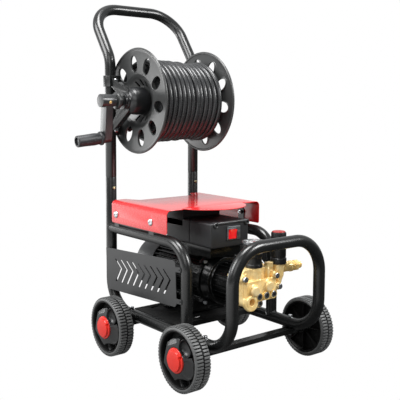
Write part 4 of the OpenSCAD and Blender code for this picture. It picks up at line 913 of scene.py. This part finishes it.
# %% Outline of the hub block
# its corners: degrees from the rear towards the top, and distance from the axle
CORNERS = [(-20, 63), (50, 60.5), (66, 58.5), (84, 57.5), (98, 62.5), (118, 68), (160, 68), (173, 74.5), (196, 75),
           (210, 71), (219, 66), (236, 52.5), (248, 49.5), (262, 50), (275, 58)]
RAYS = [Vector((math.cos(a), math.sin(a))) for a in full_turn(288)]
CAP_SEAT = 35.0                 # the red cap sits inside this radius
BOWL_AT, BITE_R = (133, 56.0), 25.3


def spot(angle, distance):
    """Point of the wheel's plane: local X points down and local Y to the rear."""
    return Vector((-distance * math.sin(math.radians(angle)), distance * math.cos(math.radians(angle))))


def reach_to_edge(way, corners):
    """How far a ray from the axle goes until it meets the straight line between two corners."""
    for p, q in zip(corners, corners[1:] + corners[:1]):
        span = q - p
        flat = way.x * span.y - way.y * span.x
        reach, along = (p.x * span.y - p.y * span.x) / flat, (p.x * way.y - p.y * way.x) / flat
        if reach > 0 and 0 <= along <= 1:
            return reach


def squared(level):
    """Outline of the block, drawn in by a few millimetres, with the round bite for the bowl."""
    corners = [spot(*c) for c in CORNERS]
    line = [reach_to_edge(way, corners) for way in RAYS]
    for _ in range(3):
        line = [(line[k - 1] + line[k] + line[(k + 1) % len(line)]) / 3 for k in range(len(line))]
    bite = spot(*BOWL_AT)
    for k, way in enumerate(RAYS):
        along, across = way.dot(bite), abs(way.x * bite.y - way.y * bite.x)
        if along > 0 and across < BITE_R:
            line[k] = min(line[k], max(CAP_SEAT + 0.6, along - math.sqrt(BITE_R ** 2 - across ** 2)))
        line[k] = way * max(CAP_SEAT + 0.2, line[k] - level)
    return line


# %% Face of the hub block
FACE_Z, FALL_FROM = 28.0, 38    # height of the face near the cap, and the radius where it starts to fall
DISHES = ((193, 52.0, 23.5, 1.9), (308, 40.0, 14.0, 0.5))     # degrees, distance, radius, depth
LEAN_AT, LEAN_FROM, LEAN_HALF = 67, 43, 22                    # the facet that leans up


def hub_face(p):
    """Height of the block's face: it falls away from the cap, with shallow round dishes and one facet."""
    height = FACE_Z - 0.13 * max(0.0, p.length - FALL_FROM)
    for angle, distance, radius, depth in DISHES:
        d = (p - spot(angle, distance)).length / radius
        if d < 1:
            height -= depth * (1 - d * d) ** 0.35
    lean = spot(LEAN_AT, 1.0).dot(p) - LEAN_FROM
    side = abs(spot(LEAN_AT - 90, 1.0).dot(p))
    if lean > 0 and side < LEAN_HALF:
        height -= min(lean, 20) * 0.6 * min(1.0, (LEAN_HALF - side) / 2.0)
    return height


EDGE = ((0, -2.6), (0.4, -1.0), (1.2, -0.25), (2.2, 0))       # the rounded edge: drawn in by, and down by
outline, edge_line = squared(0), squared(EDGE[-1][0])
loops = [[Vector((p.x, p.y, -4)) for p in outline], [Vector((p.x, p.y, hub_face(p) - 3.5)) for p in outline]]
loops += [[Vector((p.x, p.y, hub_face(p) + drop)) for p in squared(level)] for level, drop in EDGE]
for step in range(1, 19):
    line = [p.lerp(p.normalized() * CAP_SEAT, step / 18) for p in edge_line]
    loops.append([Vector((p.x, p.y, hub_face(p))) for p in line])
for r, z in ((34.8, 27.0), (34.5, 21)):
    loops.append([Vector((p.x, p.y, z)) for p in (q.normalized() * r for q in edge_line)])
verts = [v for loop in loops for v in loop]
hub = verts, ring_faces(len(loops), len(RAYS)) + [tuple(range(len(verts) - len(RAYS), len(verts)))]
print("hub block:", len(verts), "points in", len(loops), "rings")

# %% Bowls in the hub, and the cap
RIM_IN = 73.0


def leaning(part):
    """A shape whose top falls away from the cap, as the block's face does."""
    return [v - Vector((0, 0, 0.1 * max(0.0, v.xy.length - FALL_FROM))) if v.z > 0 else v for v in part[0]], part[1]


def within_rim(part):
    """A shape whose points beyond the rim are drawn back to it."""
    return [Vector((v.x, v.y, 0)) * min(1.0, RIM_IN / max(1.0, v.xy.length)) + Vector((0, 0, v.z))
            for v in part[0]], part[1]


# a round bowl with a turned lip, let into the block, and a second lip that shows between the lower bite and the rim
bowl = lathe([(0, 12.5), (8, 12.9), (15, 14.8), (20, 18.4), (22.2, 22.4), (22.7, 26.6), (23.1, 27.9), (23.8, 28.5),
              (24.5, 28.1), (24.9, 27.0), (25.0, 25), (25.0, -3), (0, -3)], 96)
sunk = lathe([(17, 6), (20, 12), (21.2, 14), (22.4, 14), (23.2, 12.4), (23.4, -3), (17, -3)], 72, closed=True)
block_and_bowls = joined(hub, within_rim(leaning(lifted(bowl, *spot(*BOWL_AT)))),
                         within_rim(lifted(sunk, *spot(248, 62.0))))
# red disc with a raised middle, and two notches where it snaps out
cap = lathe([(0, 21.1), (33.6, 21.1), (34, 21.6), (34, 29), (33.5, 30.3), (32.4, 30.9), (29.2, 31), (28.3, 31.3),
             (28, 32.2), (28, 35), (27.5, 36.1), (26.4, 36.5), (0, 36.5)], 128)
cap = carved(cap, *[spun(block((26.5, -3, 27.5), (36, 3, 38)), a) for a in (60, 240)])

# %% Four wheels
for code, (sx, sy) in {"fl": (-1, -1), "fr": (1, -1), "rl": (-1, 1), "rr": (1, 1)}.items():
    stand = sideways(sx * WHEEL_X, sy * AXLE_Y, WHEEL_R, sx)
    body = "wheel_" + code
    # the floor of the grooves between the bars is a darker rubber: painted shade
    piece("tread_floor_" + code, moved(floor_band, stand), "tyre", body, smooth=40, material=FINISH["tread_shade"])
    piece("tyre_tread_" + code, moved(tyre, stand), "tyre", body, ["tyre_" + code], smooth=40)
    # barrel, web and ribs are darker than the block of the same moulding: painted shade
    piece("hub_barrel_" + code, moved(barrel, stand), "hub_plastic", body, ["hub_" + code], smooth=40,
          material=FINISH["hub_shade"])
    piece("hub_block_" + code, moved(block_and_bowls, stand), "hub_plastic", body, smooth=40)
    piece("hub_cap_disc_" + code, moved(cap, stand), "cap_red", body, ["cap_" + code], smooth=40)
print("wheels done")

# %% [markdown]
# ## Hose reel
# Each flange is a dished disc with ten oval holes. Its mesh is laid out hole by hole, in rings that follow the oval
# and then open out to the edges of that hole's share of the disc, so that the painted surface stays perfectly smooth.

# %% Flange with oval holes
HOLES, PHASE, HOLE_R, HOLE_A, HOLE_B = 10, 98.4, 114.0, 26.0, 17.0      # ovals: number, turn, place, half axes
RING_IN, RING_OUT, DISC_R = 83.0, 150.0, 158.0                          # band with the holes, and the disc
DISH_IN, CONE, DISH, FLATTER, PLATE = 46.0, 78.0, 28.0, 5.0, 3.0        # sunk middle, its depth, the sheet
HOLE_POINTS = 64
HEIGHT_AT = ((DISH_IN - 3, -DISH), (DISH_IN + 3, -DISH + 2.2), (CONE - 5, -FLATTER - 3.4), (CONE + 5, -FLATTER + 0.3),
             (DISC_R, 0.0))
# the rolled lip of a hole, from the outer face through to the inner one: distance from the oval, and depth
HOLE_LIP = [(2.2, 0.0), (1.0, 0.0), (0.35, 0.25), (0.0, 0.9), (0.0, 5.8), (0.5, 6.4), (1.4, 6.4), (2.0, 5.8),
            (2.2, 3.4), (2.9, 3.0)]


def disc_point(r, theta, depth):
    """A point of the disc: depth 0 is the outer face, and depth grows towards the hose. Near the hub it is sunk in."""
    height = np.interp(r, *zip(*HEIGHT_AT))
    return Vector((r * math.cos(theta), r * math.sin(theta), height - depth))


def disc_line(radii, depth):
    """Profile points of the disc's outer or inner face."""
    return [(r, disc_point(r, 0, depth).z) for r in radii]


def share_edge():
    """The border of one hole's share, walked round so that its corners are met exactly: radius, angle, hole angle."""
    half, centre, reach = math.pi / HOLES, (RING_OUT + RING_IN) / 2, (RING_OUT - RING_IN) / 2
    edge = []
    for k, t in enumerate(full_turn(HOLE_POINTS)):
        step = (k + HOLE_POINTS // 8) % HOLE_POINTS / (HOLE_POINTS // 4)
        side, along = int(step), (step - int(step)) * 2 - 1
        r, a = ((RING_OUT, along * half), (centre - along * reach, half),
                (RING_IN, -along * half), (centre + along * reach, -half))[side]
        edge.append((r, a, t))
    return edge


def hole_share(index):
    """One hole's share of the disc, both faces and the wall between them."""
    middle = math.radians(PHASE + 360 / HOLES * index)
    rows = [(blend, *HOLE_LIP[0]) for blend in (1.0, 0.72, 0.46, 0.22)]
    rows += [(0.0, outset, depth) for outset, depth in HOLE_LIP]
    rows += [(blend, HOLE_LIP[-1][0], PLATE) for blend in (0.22, 0.46, 0.72, 1.0)]
    edge, verts = share_edge(), []
    for blend, outset, depth in rows:
        for r, a, t in edge:
            x = HOLE_R + (HOLE_A + outset) * math.cos(t)
            y = (HOLE_B + outset) * math.sin(t)
            hr, ha = math.hypot(x, y), math.atan2(y, x)
            verts.append(disc_point(hr + (r - hr) * blend, middle + ha + (a - ha) * blend, depth))
    return verts, ring_faces(len(rows), HOLE_POINTS)


def flange_disc():
    """The whole flange, rim plane at z = 0, dish towards -Z."""
    sides = HOLES * HOLE_POINTS // 4
    rolled = [(DISC_R + 4 * math.cos(a), -1.5 + 4 * math.sin(a))
              for a in (math.radians(130 - 300 * k / 20) for k in range(21))]
    outer = lathe(disc_line((RING_OUT, 155.4), 0) + [(156.4, 0.2)] + rolled + disc_line((155.6, RING_OUT), PLATE),
                  sides)
    radii = (RING_IN, 81, 79, 77, 75, 73, 68, 60, 52, 49, 46, 43, 40)
    hub_line = [(24, 0), (22.5, 1.5), (19, 2), (15.1, 2), (15.1, -5), (22, -5), (24, -3)]
    inner = lathe(disc_line(radii, 0) + [(r, h - DISH) for r, h in hub_line] + disc_line(radii[::-1], PLATE), sides)
    return joined(*[hole_share(i) for i in range(HOLES)], spun(joined(outer, inner), PHASE - 180 / HOLES))


# three windows above the shaft and three below it, cut through the wall of the recess
window = prism(round_rect(18, 8, 2, 57, 0), -45, 5)
disc = carved(flange_disc(), *[spun(window, a + d) for a in (0, 180) for d in (-24, 0, 24)])
for name, x, flip in (("left", -139, -1), ("right", 118, 1)):
    piece("reel_flange_" + name, moved(disc, sideways(x, REEL_Y, REEL_Z, flip)), "reel_paint", "reel",
          ["flange_" + name], smooth=45, merge_mm=0.02)
print("two flanges with", HOLES, "holes each")

# %% [markdown]
# The hose is one long tube. Its turns lie side by side on the layers below. Each one steps over to the next during
# the last part of its round, and a few lie a little deeper, where the layer underneath has a gap. A plain turned
# shape stands for those layers, because only dark gaps show of them.

# %% Wound hose
HOSE_R, WIND_R, FIRST_X, TURN_STEP = 7.45, 120, -121 + 7.5, 17.1667
DEEPER = [0, 0, 0.4, 0, 0.5, 0.3, 3.6, 1.2, 5.6, 5.0, 6.2, 4.2, 0.3]    # millimetres, one for each turn
TURN_POINTS = 96

path = []
for turn, (drop, following) in enumerate(zip(DEEPER, DEEPER[1:] + DEEPER[-1:])):
    last = turn == len(DEEPER) - 1
    for k in range(TURN_POINTS):
        t = k / TURN_POINTS
        shift = 0.0 if last else min(1.0, max(0.0, (t - 0.72) / 0.22))
        shift = shift * shift * (3 - 2 * shift)
        a = 2 * math.pi * t + math.radians(40)
        r = WIND_R - drop + (drop - following) * shift + 0.35 * math.sin(a * 3 + turn)
        sway = 0.0 if last or turn == 0 else 0.5 * math.sin(a * 2 + turn * 1.7)
        x = FIRST_X + TURN_STEP * (turn + shift) + sway
        path.append((x, REEL_Y + r * math.sin(a), REEL_Z - r * math.cos(a)))
hose = sweep(path, HOSE_R, 20)
under = lathe([(84, -118), (107.5, -116.5), (109.5, -112), (109.5, 92), (107.5, 96), (84, 97), (84, -118)], 96)
piece("wound_hose", joined(hose, moved(under, sideways(0, REEL_Y, REEL_Z))), "hose_rubber", "reel", ["hose_coil"],
      smooth=50)
print("hose wound in", len(DEEPER), "turns")

# %% [markdown]
# ## Screws
# Button heads hold the hood, cap screws hold the pump head and the reel brackets, and hexagon bolts go through the
# frame. All have real key holes and chamfers, so each shows its own small highlight and a dark middle. Like most
# small parts, a screw is drawn lying flat and then turned to face the front, the sides or the top.

# %% Screws and bolts
EARS = [(-68, 289), (62, 251), (50, 284)]   # screws of the pump head
CLAMP_Y, CLAMP_Z = 273, (838, 686)          # screws of the reel brackets


def towards(x, y, z, direction, roll=0.0):
    """Matrix that puts a part drawn along +Z at a point of the cart, facing a direction."""
    turn = Vector(direction).to_track_quat("Z", "Y").to_matrix().to_4x4()
    return Matrix.Translation((x, y, z)) @ turn @ Matrix.Rotation(math.radians(roll), 4, "Z")


def front(x, y, z):
    """Matrix for a shape that faces the pump end: local X to the far side, Y up, Z forwards."""
    return Matrix(((1, 0, 0, x), (0, 0, -1, y), (0, 1, 0, z), (0, 0, 0, 1)))


def key_hole(across, z0, z1):
    """A hexagonal hole for a key, to be cut."""
    return prism(circle2d(across / 2 / math.cos(math.radians(30)), 6), z0, z1)


def screws(name, part, places, node, edge, smooth=32):
    """One set of equal steel screws."""
    piece(name, copies_at(part, places, "steel"), "steel", "frame", [node], edge=edge, smooth=smooth)


button = carved(lathe([(0, 0), (11, 0), (11, 0.7), (10.2, 2.3), (8.2, 3.9), (5.6, 4.8), (4.0, 5.0), (0, 5.0)], 48),
                key_hole(6, 1.6, 8))
shank = lathe([(0, -16), (2.4, -16), (3, -15.4), (3, 0.2), (0, 0.2)], 24)
nut = prism(circle2d(6.6, 6), -10, -5.2)
places = [towards(s * HOOD_HALF, y, BOLT_Z, (s, 0, 0), 20 * s + y) for s in (-1, 1) for y in TAB_Y]
screws("hood_screws", joined(button, shank, nut), places, "hood_bolts", 0.15)

cap_screw = carved(lathe([(0, 0), (8, 0), (8, 6.9), (7.7, 7.8), (7.0, 8.4), (6.2, 8.5), (0, 8.5)], 48),
                   key_hole(7.5, 3.4, 12))
places = [front(x, HEAD_Y, z) @ Matrix.Rotation(0.3 * i, 4, "Z") for i, (x, z) in enumerate(EARS)]
screws("pump_head_screws", cap_screw, places, "head_bolts", 0.2)

clamp_screw = carved(lathe([(0, 0), (8, 0), (8, 4), (7.4, 5.6), (5.8, 7.0), (4.2, 7.5), (0, 7.5)], 48),
                     key_hole(6, 3.6, 9))
places = [front(s * POST_X, CLAMP_Y, z) @ Matrix.Rotation(0.5 * s, 4, "Z") for s in (-1, 1) for z in CLAMP_Z]
screws("bracket_screws", clamp_screw, places, "clamp_bolts", 0.2)
dressed("axle_bolts_and_nuts", "axle_bolts", 0.7)
dressed("motor_screws", "motor_bolts", 0.5)
print("screws done")

# %% [markdown]
# ## Base, axles and brackets
# The folded base plate, the axle beams and the reel's brackets are cut and folded steel. The CAD model already has
# their full form, so they only need their edges rounded. The width follows the real thing: a folded or forged edge
# is rounder than a sawn one, and a small button has hardly any.

# %% Plate, axles, brackets
dressed("base_plate_folded", "base_plate", 0.8, material=FINISH["plate_black"])
for end in ("front", "rear"):
    dressed("axle_beam_" + end, "axle_" + end, 2.4, segments=3)
for side, _ in SIDES:
    dressed("reel_bracket_" + side, "bracket_" + side, 1.6)
dressed("reel_bearing_bells", "reel_bells", 0.8, slot="frame_paint", material=FINISH["bell_gloss"], segments=3)
dressed("reel_shaft_and_drum", "drum", 0.6)
for side, _ in SIDES:
    dressed("snap_button_" + side, "snap_" + side, 0.3)
print("base, axles and brackets done")

# %% [markdown]
# ## Control box
# A moulded box with soft edges, a joint line between its two halves, and a hinge ridge between two screw bosses.

# %% Control box
BOX_W, BOX_H, HUMP_H, BOX_CORNER = 144, 75, 60, 7
BOX_Z, HUMP_Z, BOX_FACE = 387.5, 424, -93
RIDGE_Z, RIDGE_X = 423, (-54, 63.7)
# heights from the rear end to the front face, each with how far the outline is drawn in
SHELL_ROWS = [(-126, 2), (-125.4, 0.6), (-124, 0), (-12.0, 0), (-12.0, 1.5), (-9.0, 1.5), (-9.0, 0), (89.0, 0),
              (90.4, 0.3), (91.7, 1.2), (92.6, 2.4), (93, 4)]
HUMP_ROWS = [(-126, 2), (-125.4, 0.6), (-124, 0), (-44, 0), (-42.6, 0.6), (-42, 2)]


def boxed(height, rows, least=0.0):
    """A box as wide as the control box, drawn in row by row. Its corners keep a least radius."""
    return layered([(z, round_rect(BOX_W - 2 * i, height - 2 * i, max(BOX_CORNER - i, least))) for z, i in rows])


shell = carved(moved(boxed(BOX_H, SHELL_ROWS, 2.2), front(0, 0, BOX_Z)), block((-10.5, -95, 373), (22.5, -68, 404)))
hump = moved(boxed(HUMP_H, HUMP_ROWS), front(0, 0, HUMP_Z))
ridge = moved(lathe([(0, RIDGE_X[0]), (5, RIDGE_X[0]), (5, RIDGE_X[1]), (0, RIDGE_X[1])], 32),
              sideways(0, BOX_FACE, RIDGE_Z))
boss = lathe([(0, 0), (8.5, 0), (8.5, 13.2), (8.0, 14.4), (7.0, 15), (5.0, 15), (4.2, 14.4), (4.0, 13.4), (4.0, 10.5),
              (0, 10.5)], 40)
bosses = [moved(boss, front(x, BOX_FACE + 10, RIDGE_Z - 4)) for x in RIDGE_X]
# a dark block fills the gap between the control box and the motor, where only shade shows: painted shade
piece("terminal_seat", block((-58, -74, 318), (58, 40, 352)), "motor_paint", "frame", edge=3)
piece("control_box_shell", joined(shell, hump), "box_plastic", "frame", ["control_box"], smooth=40)
# ridge and bosses are a lighter grey than the shell: painted highlight
piece("control_box_ridge", joined(ridge, *bosses), "box_plastic", "frame", smooth=40, material=FINISH["painted_highlight_grey"])
print("control box done")

# %% [markdown]
# The switch plate is thin brushed sheet with two marks cut through it, a bar and a circle. They tell on from off
# without a word. A raised frame lies round the rocker, so that a finger finds it without looking.

# %% Switch
ROCKER_AT = (-6, -2)
PLATE_AT = (12, BOX_FACE, 390.5)

window = prism(round_rect(32.6, 30.6, 1, *ROCKER_AT), -1, 8)
plate = layered([(z, round_rect(51 - i, 41 - i, r))
                 for z, i, r in ((0, 0, 3), (3.1, 0, 3), (3.7, 0.5, 2.8), (4, 1.4, 2.4))])
circle_mark = lifted(lathe([(2.4, 3.3), (3.5, 3.3), (3.5, 6), (2.4, 6)], 32, closed=True), 17.5, 9)
plate = carved(plate, window, circle_mark, block((16.9, -15.5, 3.3), (18.1, -8.5, 6)))
rim = layered([(z, round_rect(35.4 - i, 33.4 - i, r, *ROCKER_AT))
               for z, i, r in ((3.6, 0, 2), (5.4, 0.4, 1.8), (5.8, 1, 1.6))])
piece("switch_plate_brushed", moved(joined(plate, carved(rim, window)), front(*PLATE_AT)), "switch_metal", "frame",
      ["switch_plate"], edge=0.12)
dressed("power_rocker_red", "rocker", 1.1, segments=3)
print("switch done")

# %% [markdown]
# ## Motor
# A finned casting between a front bell with four screwed lugs and a pressed cowl with air slots.

# %% Motor
dressed("motor_casting", "motor_body", 0.6)
dressed("motor_front_bell", "motor_bell", 2.2, segments=3)
dressed("fan_cowl_pressed", "fan_cowl", 1.2)
dressed("cooling_fan", "motor_fan", 0.4)
print("motor done")

# %% [markdown]
# The pump housing is a round casting behind the head. An adapter ring bolts it to the motor, ribs along it carry the
# heat away, and a short neck on top takes the filler cap.

# %% Pump housing
adapter = lathe([(50, 0), (69.4, 0), (71.2, 0.7), (72, 2.4), (72, 5.6), (71.2, 7.3), (69.4, 8), (64.5, 8.2),
                 (63.2, 9.4), (62.8, 12), (50, 12)], 128)
barrel = lathe([(0, 4), (54, 4), (54, 94), (58, 94), (61, 94.6), (62, 96), (62, 101.2), (61.2, 102), (0, 102)], 96)
ribs = copies_round(block((50, -1.5, 6), (61.5, 1.5, 96)), 24, "motor_paint", edge=0.7)
neck = lathe([(6.06, -20), (10, -20), (10, 13), (9.2, 14), (7, 14), (6.06, 13)], 40, closed=True)
housing = joined(moved(joined(adapter, barrel, ribs), front(0, -72, 245)), lifted(neck, 0, -123, 287))
piece("pump_housing_ribbed", housing, "motor_paint", "frame", ["pump_housing"], smooth=40)
dressed("oil_filler_cap", "oil_cap", 0.8, material=FINISH["black_plastic"])
print("pump housing done")

# %% [markdown]
# ## Pump head
# The head is a brass casting. Its solid is laid out in small cubes of one millimetre and relaxed, which gives every
# edge the soft round that molten metal leaves, and lets bosses, ribs and pipes flow into each other.

# %% Pump head casting
PLUGS = [(-16.3, 233), (11.2, 233), (38.7, 233), (-12.6, 213)]      # three in a row, and one below
VALVES = [(-32.5, 252), (19.5, 258.5)]
GAUGE = (-8, -206)                                                  # the gauge's upright axis


def cast(name, node, extra, voxel_mm, relax):
    """A CAD node with more shapes fused to it, all edges softened like a casting."""
    bm = bmesh.new()
    bm.from_mesh(frame["nodes"][node].data)
    for points, faces in extra:
        made = [bm.verts.new(TO_FRAME @ v) for v in points]
        bmesh.ops.recalc_face_normals(bm, faces=[bm.faces.new([made[i] for i in face]) for face in faces])
    obj = linked("casting", meshed(bm, "solid"))
    cubes = obj.modifiers.new("cubes", "REMESH")
    cubes.mode, cubes.voxel_size = "VOXEL", voxel_mm / 1000
    bm = bmesh.new()
    bm.from_mesh(result_of(obj))
    for _ in range(relax):
        bmesh.ops.smooth_vert(bm, verts=bm.verts, factor=0.5, use_axis_x=True, use_axis_y=True, use_axis_z=True)
    register(name, meshed(bm, name), SLOT[node], BODY[node], [node], smooth=180)


def rod(x, y, z, radius, length):
    """A round bar that points to the front from a point of the head."""
    return moved(lathe([(0, 0), (radius, 0), (radius, length), (0, length)], 40), front(x, y, z))


upper, lower = PLUGS[:3], PLUGS[3]
extra = [rod(x, -218, z, 12.8, 17.5) for x, z in upper] + [rod(lower[0], -218, lower[1], 12.0, 15.5)]
extra += [rod(x, -205, z, 17.0, 32.5) for x, z in VALVES]
extra += [rod(x, -180, z, 11.0, 56) for x, z in EARS]
# ribs between the bosses, the seat of the gauge, and the curved lip under the left end
extra += [block((-11, -234, 236), (-3, -200, 306)), block((43, -232, 240), (50, -200, 296)),
          block((-58, -226, 262), (-50, -180, 300))]
extra += [lifted(lathe([(0, 268), (25, 268), (25, 306), (23, 309.5), (0, 309.5)], 48), *GAUGE)]
extra += [sweep([(-44 + 22 * math.cos(a), -234 + 3 * math.sin(a), 222 + 22 * math.sin(a))
                 for a in (math.radians(150 + 190 * k / 24) for k in range(25))], 5.5, 20)]
cast("pump_head_casting", "pump_head", extra, 1.0, 5)
cast("regulator_casting", "regulator_body", [], 0.9, 3)
print("pump head cast")

# %% [markdown]
# Two valve caps and four socket plugs close the bores of the head. They come off the lathe, so they are paler and
# smoother than the casting round them. Each plug of the upper row sits in a turned collar, and the lower one lies
# two millimetres further back.


# %% Valve caps and plugs
def plug_place(x, z):
    """Where a socket plug sits on the face of the head."""
    return front(x, HEAD_Y if (x, z) in upper else HEAD_Y + 2, z)


hexagon = prism(circle2d(16, 6, turned=8), 1.5, 6.6)
dome = lathe([(0, 5), (14.2, 5), (14.2, 9.0), (13.6, 10.8), (12.2, 12.0), (9.6, 12.5), (0, 12.8)], 48)
domes = [moved(joined(hexagon, dome), front(x, HEAD_Y, z)) for x, z in VALVES]
piece("valve_caps_turned", joined(*domes), "brass", "frame", ["valve_caps"], edge=0.5, material=FINISH["brass_pale"])
collar = lathe([(9.6, -2), (12.9, -2), (12.9, 4.6), (12.3, 5.6), (11.2, 6), (10, 5.8), (9.6, 5)], 48, closed=True)
piece("plug_collars", joined(*[moved(collar, plug_place(x, z)) for x, z in upper]), "brass", "frame",
      material=FINISH["brass_turned"])
plug = carved(lathe([(0, 0.5), (9.4, 0.5), (9.4, 6.2), (9.0, 7.1), (8.2, 7.5), (0, 7.5)], 48), key_hole(11.5, 1.2, 10))
screws("head_plugs", plug, [plug_place(x, z) for x, z in PLUGS], "socket_plugs", 0.15, smooth=35)
# a thin black hexagon just below the face in each key hole: painted shade in the hole
socket = lathe([(0, 6.2), (4.9, 6.2), (4.9, 6.7), (0, 6.7)], 6)
piece("plug_sockets", joined(*[moved(socket, plug_place(x, z)) for x, z in PLUGS]), "black_plastic", "frame")
print("plugs done")

# %% [markdown]
# ## Outlet, gauge and regulator knob
# The outlet is one turned profile with a real thread at its end, and a hexagon nut with chamfers. The crests of the
# thread are rings here. A pitch of 1.5 mm is too fine for the eye to tell them from a helix.

# %% Outlet with a thread
OUTLET = sideways(73, -222, 299)
THREAD_FROM, THREAD_TO, THREAD_PITCH, ROOT_R, CREST_R = 75.0, 86.2, 1.5, 10.0, 11.0

profile = [(0, 0), (12, 0), (12, 17.5), (13.6, 18), (14, 18.6), (14, 24), (13.2, 24.8), (13.2, 30), (14, 31), (14, 43),
           (15.4, 44), (16, 44.6), (16, 51.2), (15.4, 52), (12, 52.2), (12, 58), (10.4, 59.4), (10.2, 74.2)]
z = THREAD_FROM
while z < THREAD_TO:
    profile += [(ROOT_R, z), (CREST_R, z + 0.45), (CREST_R, z + 0.75), (ROOT_R, z + 1.2)]
    z += THREAD_PITCH
profile += [(9.9, 87.4), (9.3, 88), (6.6, 88), (6.0, 87.4), (6.0, 60), (0, 60)]
hexagon = circle2d(17, 6, turned=14)
chamfer = [(x * 0.93, y * 0.93) for x, y in hexagon]
nut = layered([(60, chamfer), (61.2, hexagon), (71.8, hexagon), (73, chamfer)])
piece("outlet_pipe_and_nut", moved(joined(lathe(profile, 64), nut), OUTLET), "brass", "frame", ["outlet_fitting"],
      edge=0.25, material=FINISH["brass_turned"])
print("outlet with a thread of", round((z - THREAD_FROM) / THREAD_PITCH), "crests")

# %% [markdown]
# The gauge stands on the head with its dial up. Its case is one turned profile. The scale is printed, so its ticks
# are two tenths of a millimetre high: long ones at the main steps and short ones between them.

# %% Gauge
DIAL_Z = 377.05

dressed("gauge_tower_black", "gauge_tower", 0.8)
case = lathe([(0, 352), (12.4, 352), (13, 352.6), (13, 359), (26, 361), (30.5, 363.5), (32, 367), (32, 376),
              (32.8, 377.4), (33.4, 378.6), (33.4, 383.2), (32.6, 385), (31, 385.6), (28, 385.2), (27, 384.4),
              (27, 377), (1.55, 377), (1.55, 368), (0, 368)], 96)
piece("gauge_case_steel", lifted(case, *GAUGE), "gauge_steel", "frame", ["gauge_case"])
dial = lathe([(1.6, DIAL_Z), (26.6, DIAL_Z), (26.6, DIAL_Z + 0.45), (1.6, DIAL_Z + 0.45)], 96, closed=True)
piece("gauge_dial_white", lifted(dial, *GAUGE), "button_plastic", "frame", material=FINISH["dial_white"])
long_tick, short_tick = [block((r, -half, DIAL_Z + 0.4), (25.6, half, DIAL_Z + 0.6))
                         for r, half in ((20.5, 0.45), (23, 0.22))]
ticks = joined(copies_round(long_tick, 6, "black_plastic", start=-45, span=324),
               copies_round(short_tick, 30, "black_plastic", start=-45, span=279))
piece("gauge_scale", lifted(ticks, *GAUGE), "black_plastic", "frame")
dressed("gauge_pane", "gauge_glass", 0.3)
dressed("gauge_hand", "gauge_pointer", 0.1)
print("gauge done")

# %% [markdown]
# The knob is a ribbed sleeve over the regulator's spring, closed by a duller red insert. Its ribs are copies round
# the axis, and their soft edges are what a wet hand grips.

# %% Regulator knob
KNOB = (73, -222, 313.5)

sleeve = lathe([(8.06, 0), (22, 0), (23, 0.5), (23.4, 1.4), (23.4, 15), (22.8, 16.4), (21, 17.6), (20.6, 19),
                (20.6, 90), (20.2, 91), (19.4, 91.4), (0, 91.4), (0, 34), (8.06, 34)], 96)
ribs = copies_round(block((15, -1.5, 20), (21.9, 1.5, 89)), 24, "black_plastic", edge=0.6)
piece("regulator_knob_ribbed", lifted(joined(sleeve, ribs), *KNOB), "black_plastic", "regulator_knob", ["knob"],
      smooth=40)
top = lathe([(0, 91.42), (19.2, 91.42), (19.2, 92.2), (18.4, 93.2), (16, 93.8), (0, 94)], 96)
piece("regulator_knob_top", lifted(top, *KNOB), "cap_red", "regulator_knob", ["knob_cap"], smooth=40,
      material=FINISH["knob_red"])
print("knob done")

# %% [markdown]
# ## Crank
# A flat arm clamped on the shaft by a grub screw, and a grip that is waisted and turns on its pin.

# %% Crank
# the arm gets the same lighter grey: painted highlight on its end face
dressed("crank_arm", "crank", 2.4, segments=3, material=FINISH["painted_highlight_grey"])
dressed("crank_grub_screw", "grub_screw", 0.3)
dressed("crank_grip_sleeve", "crank_grip", 1.2, segments=3)
print("crank done")
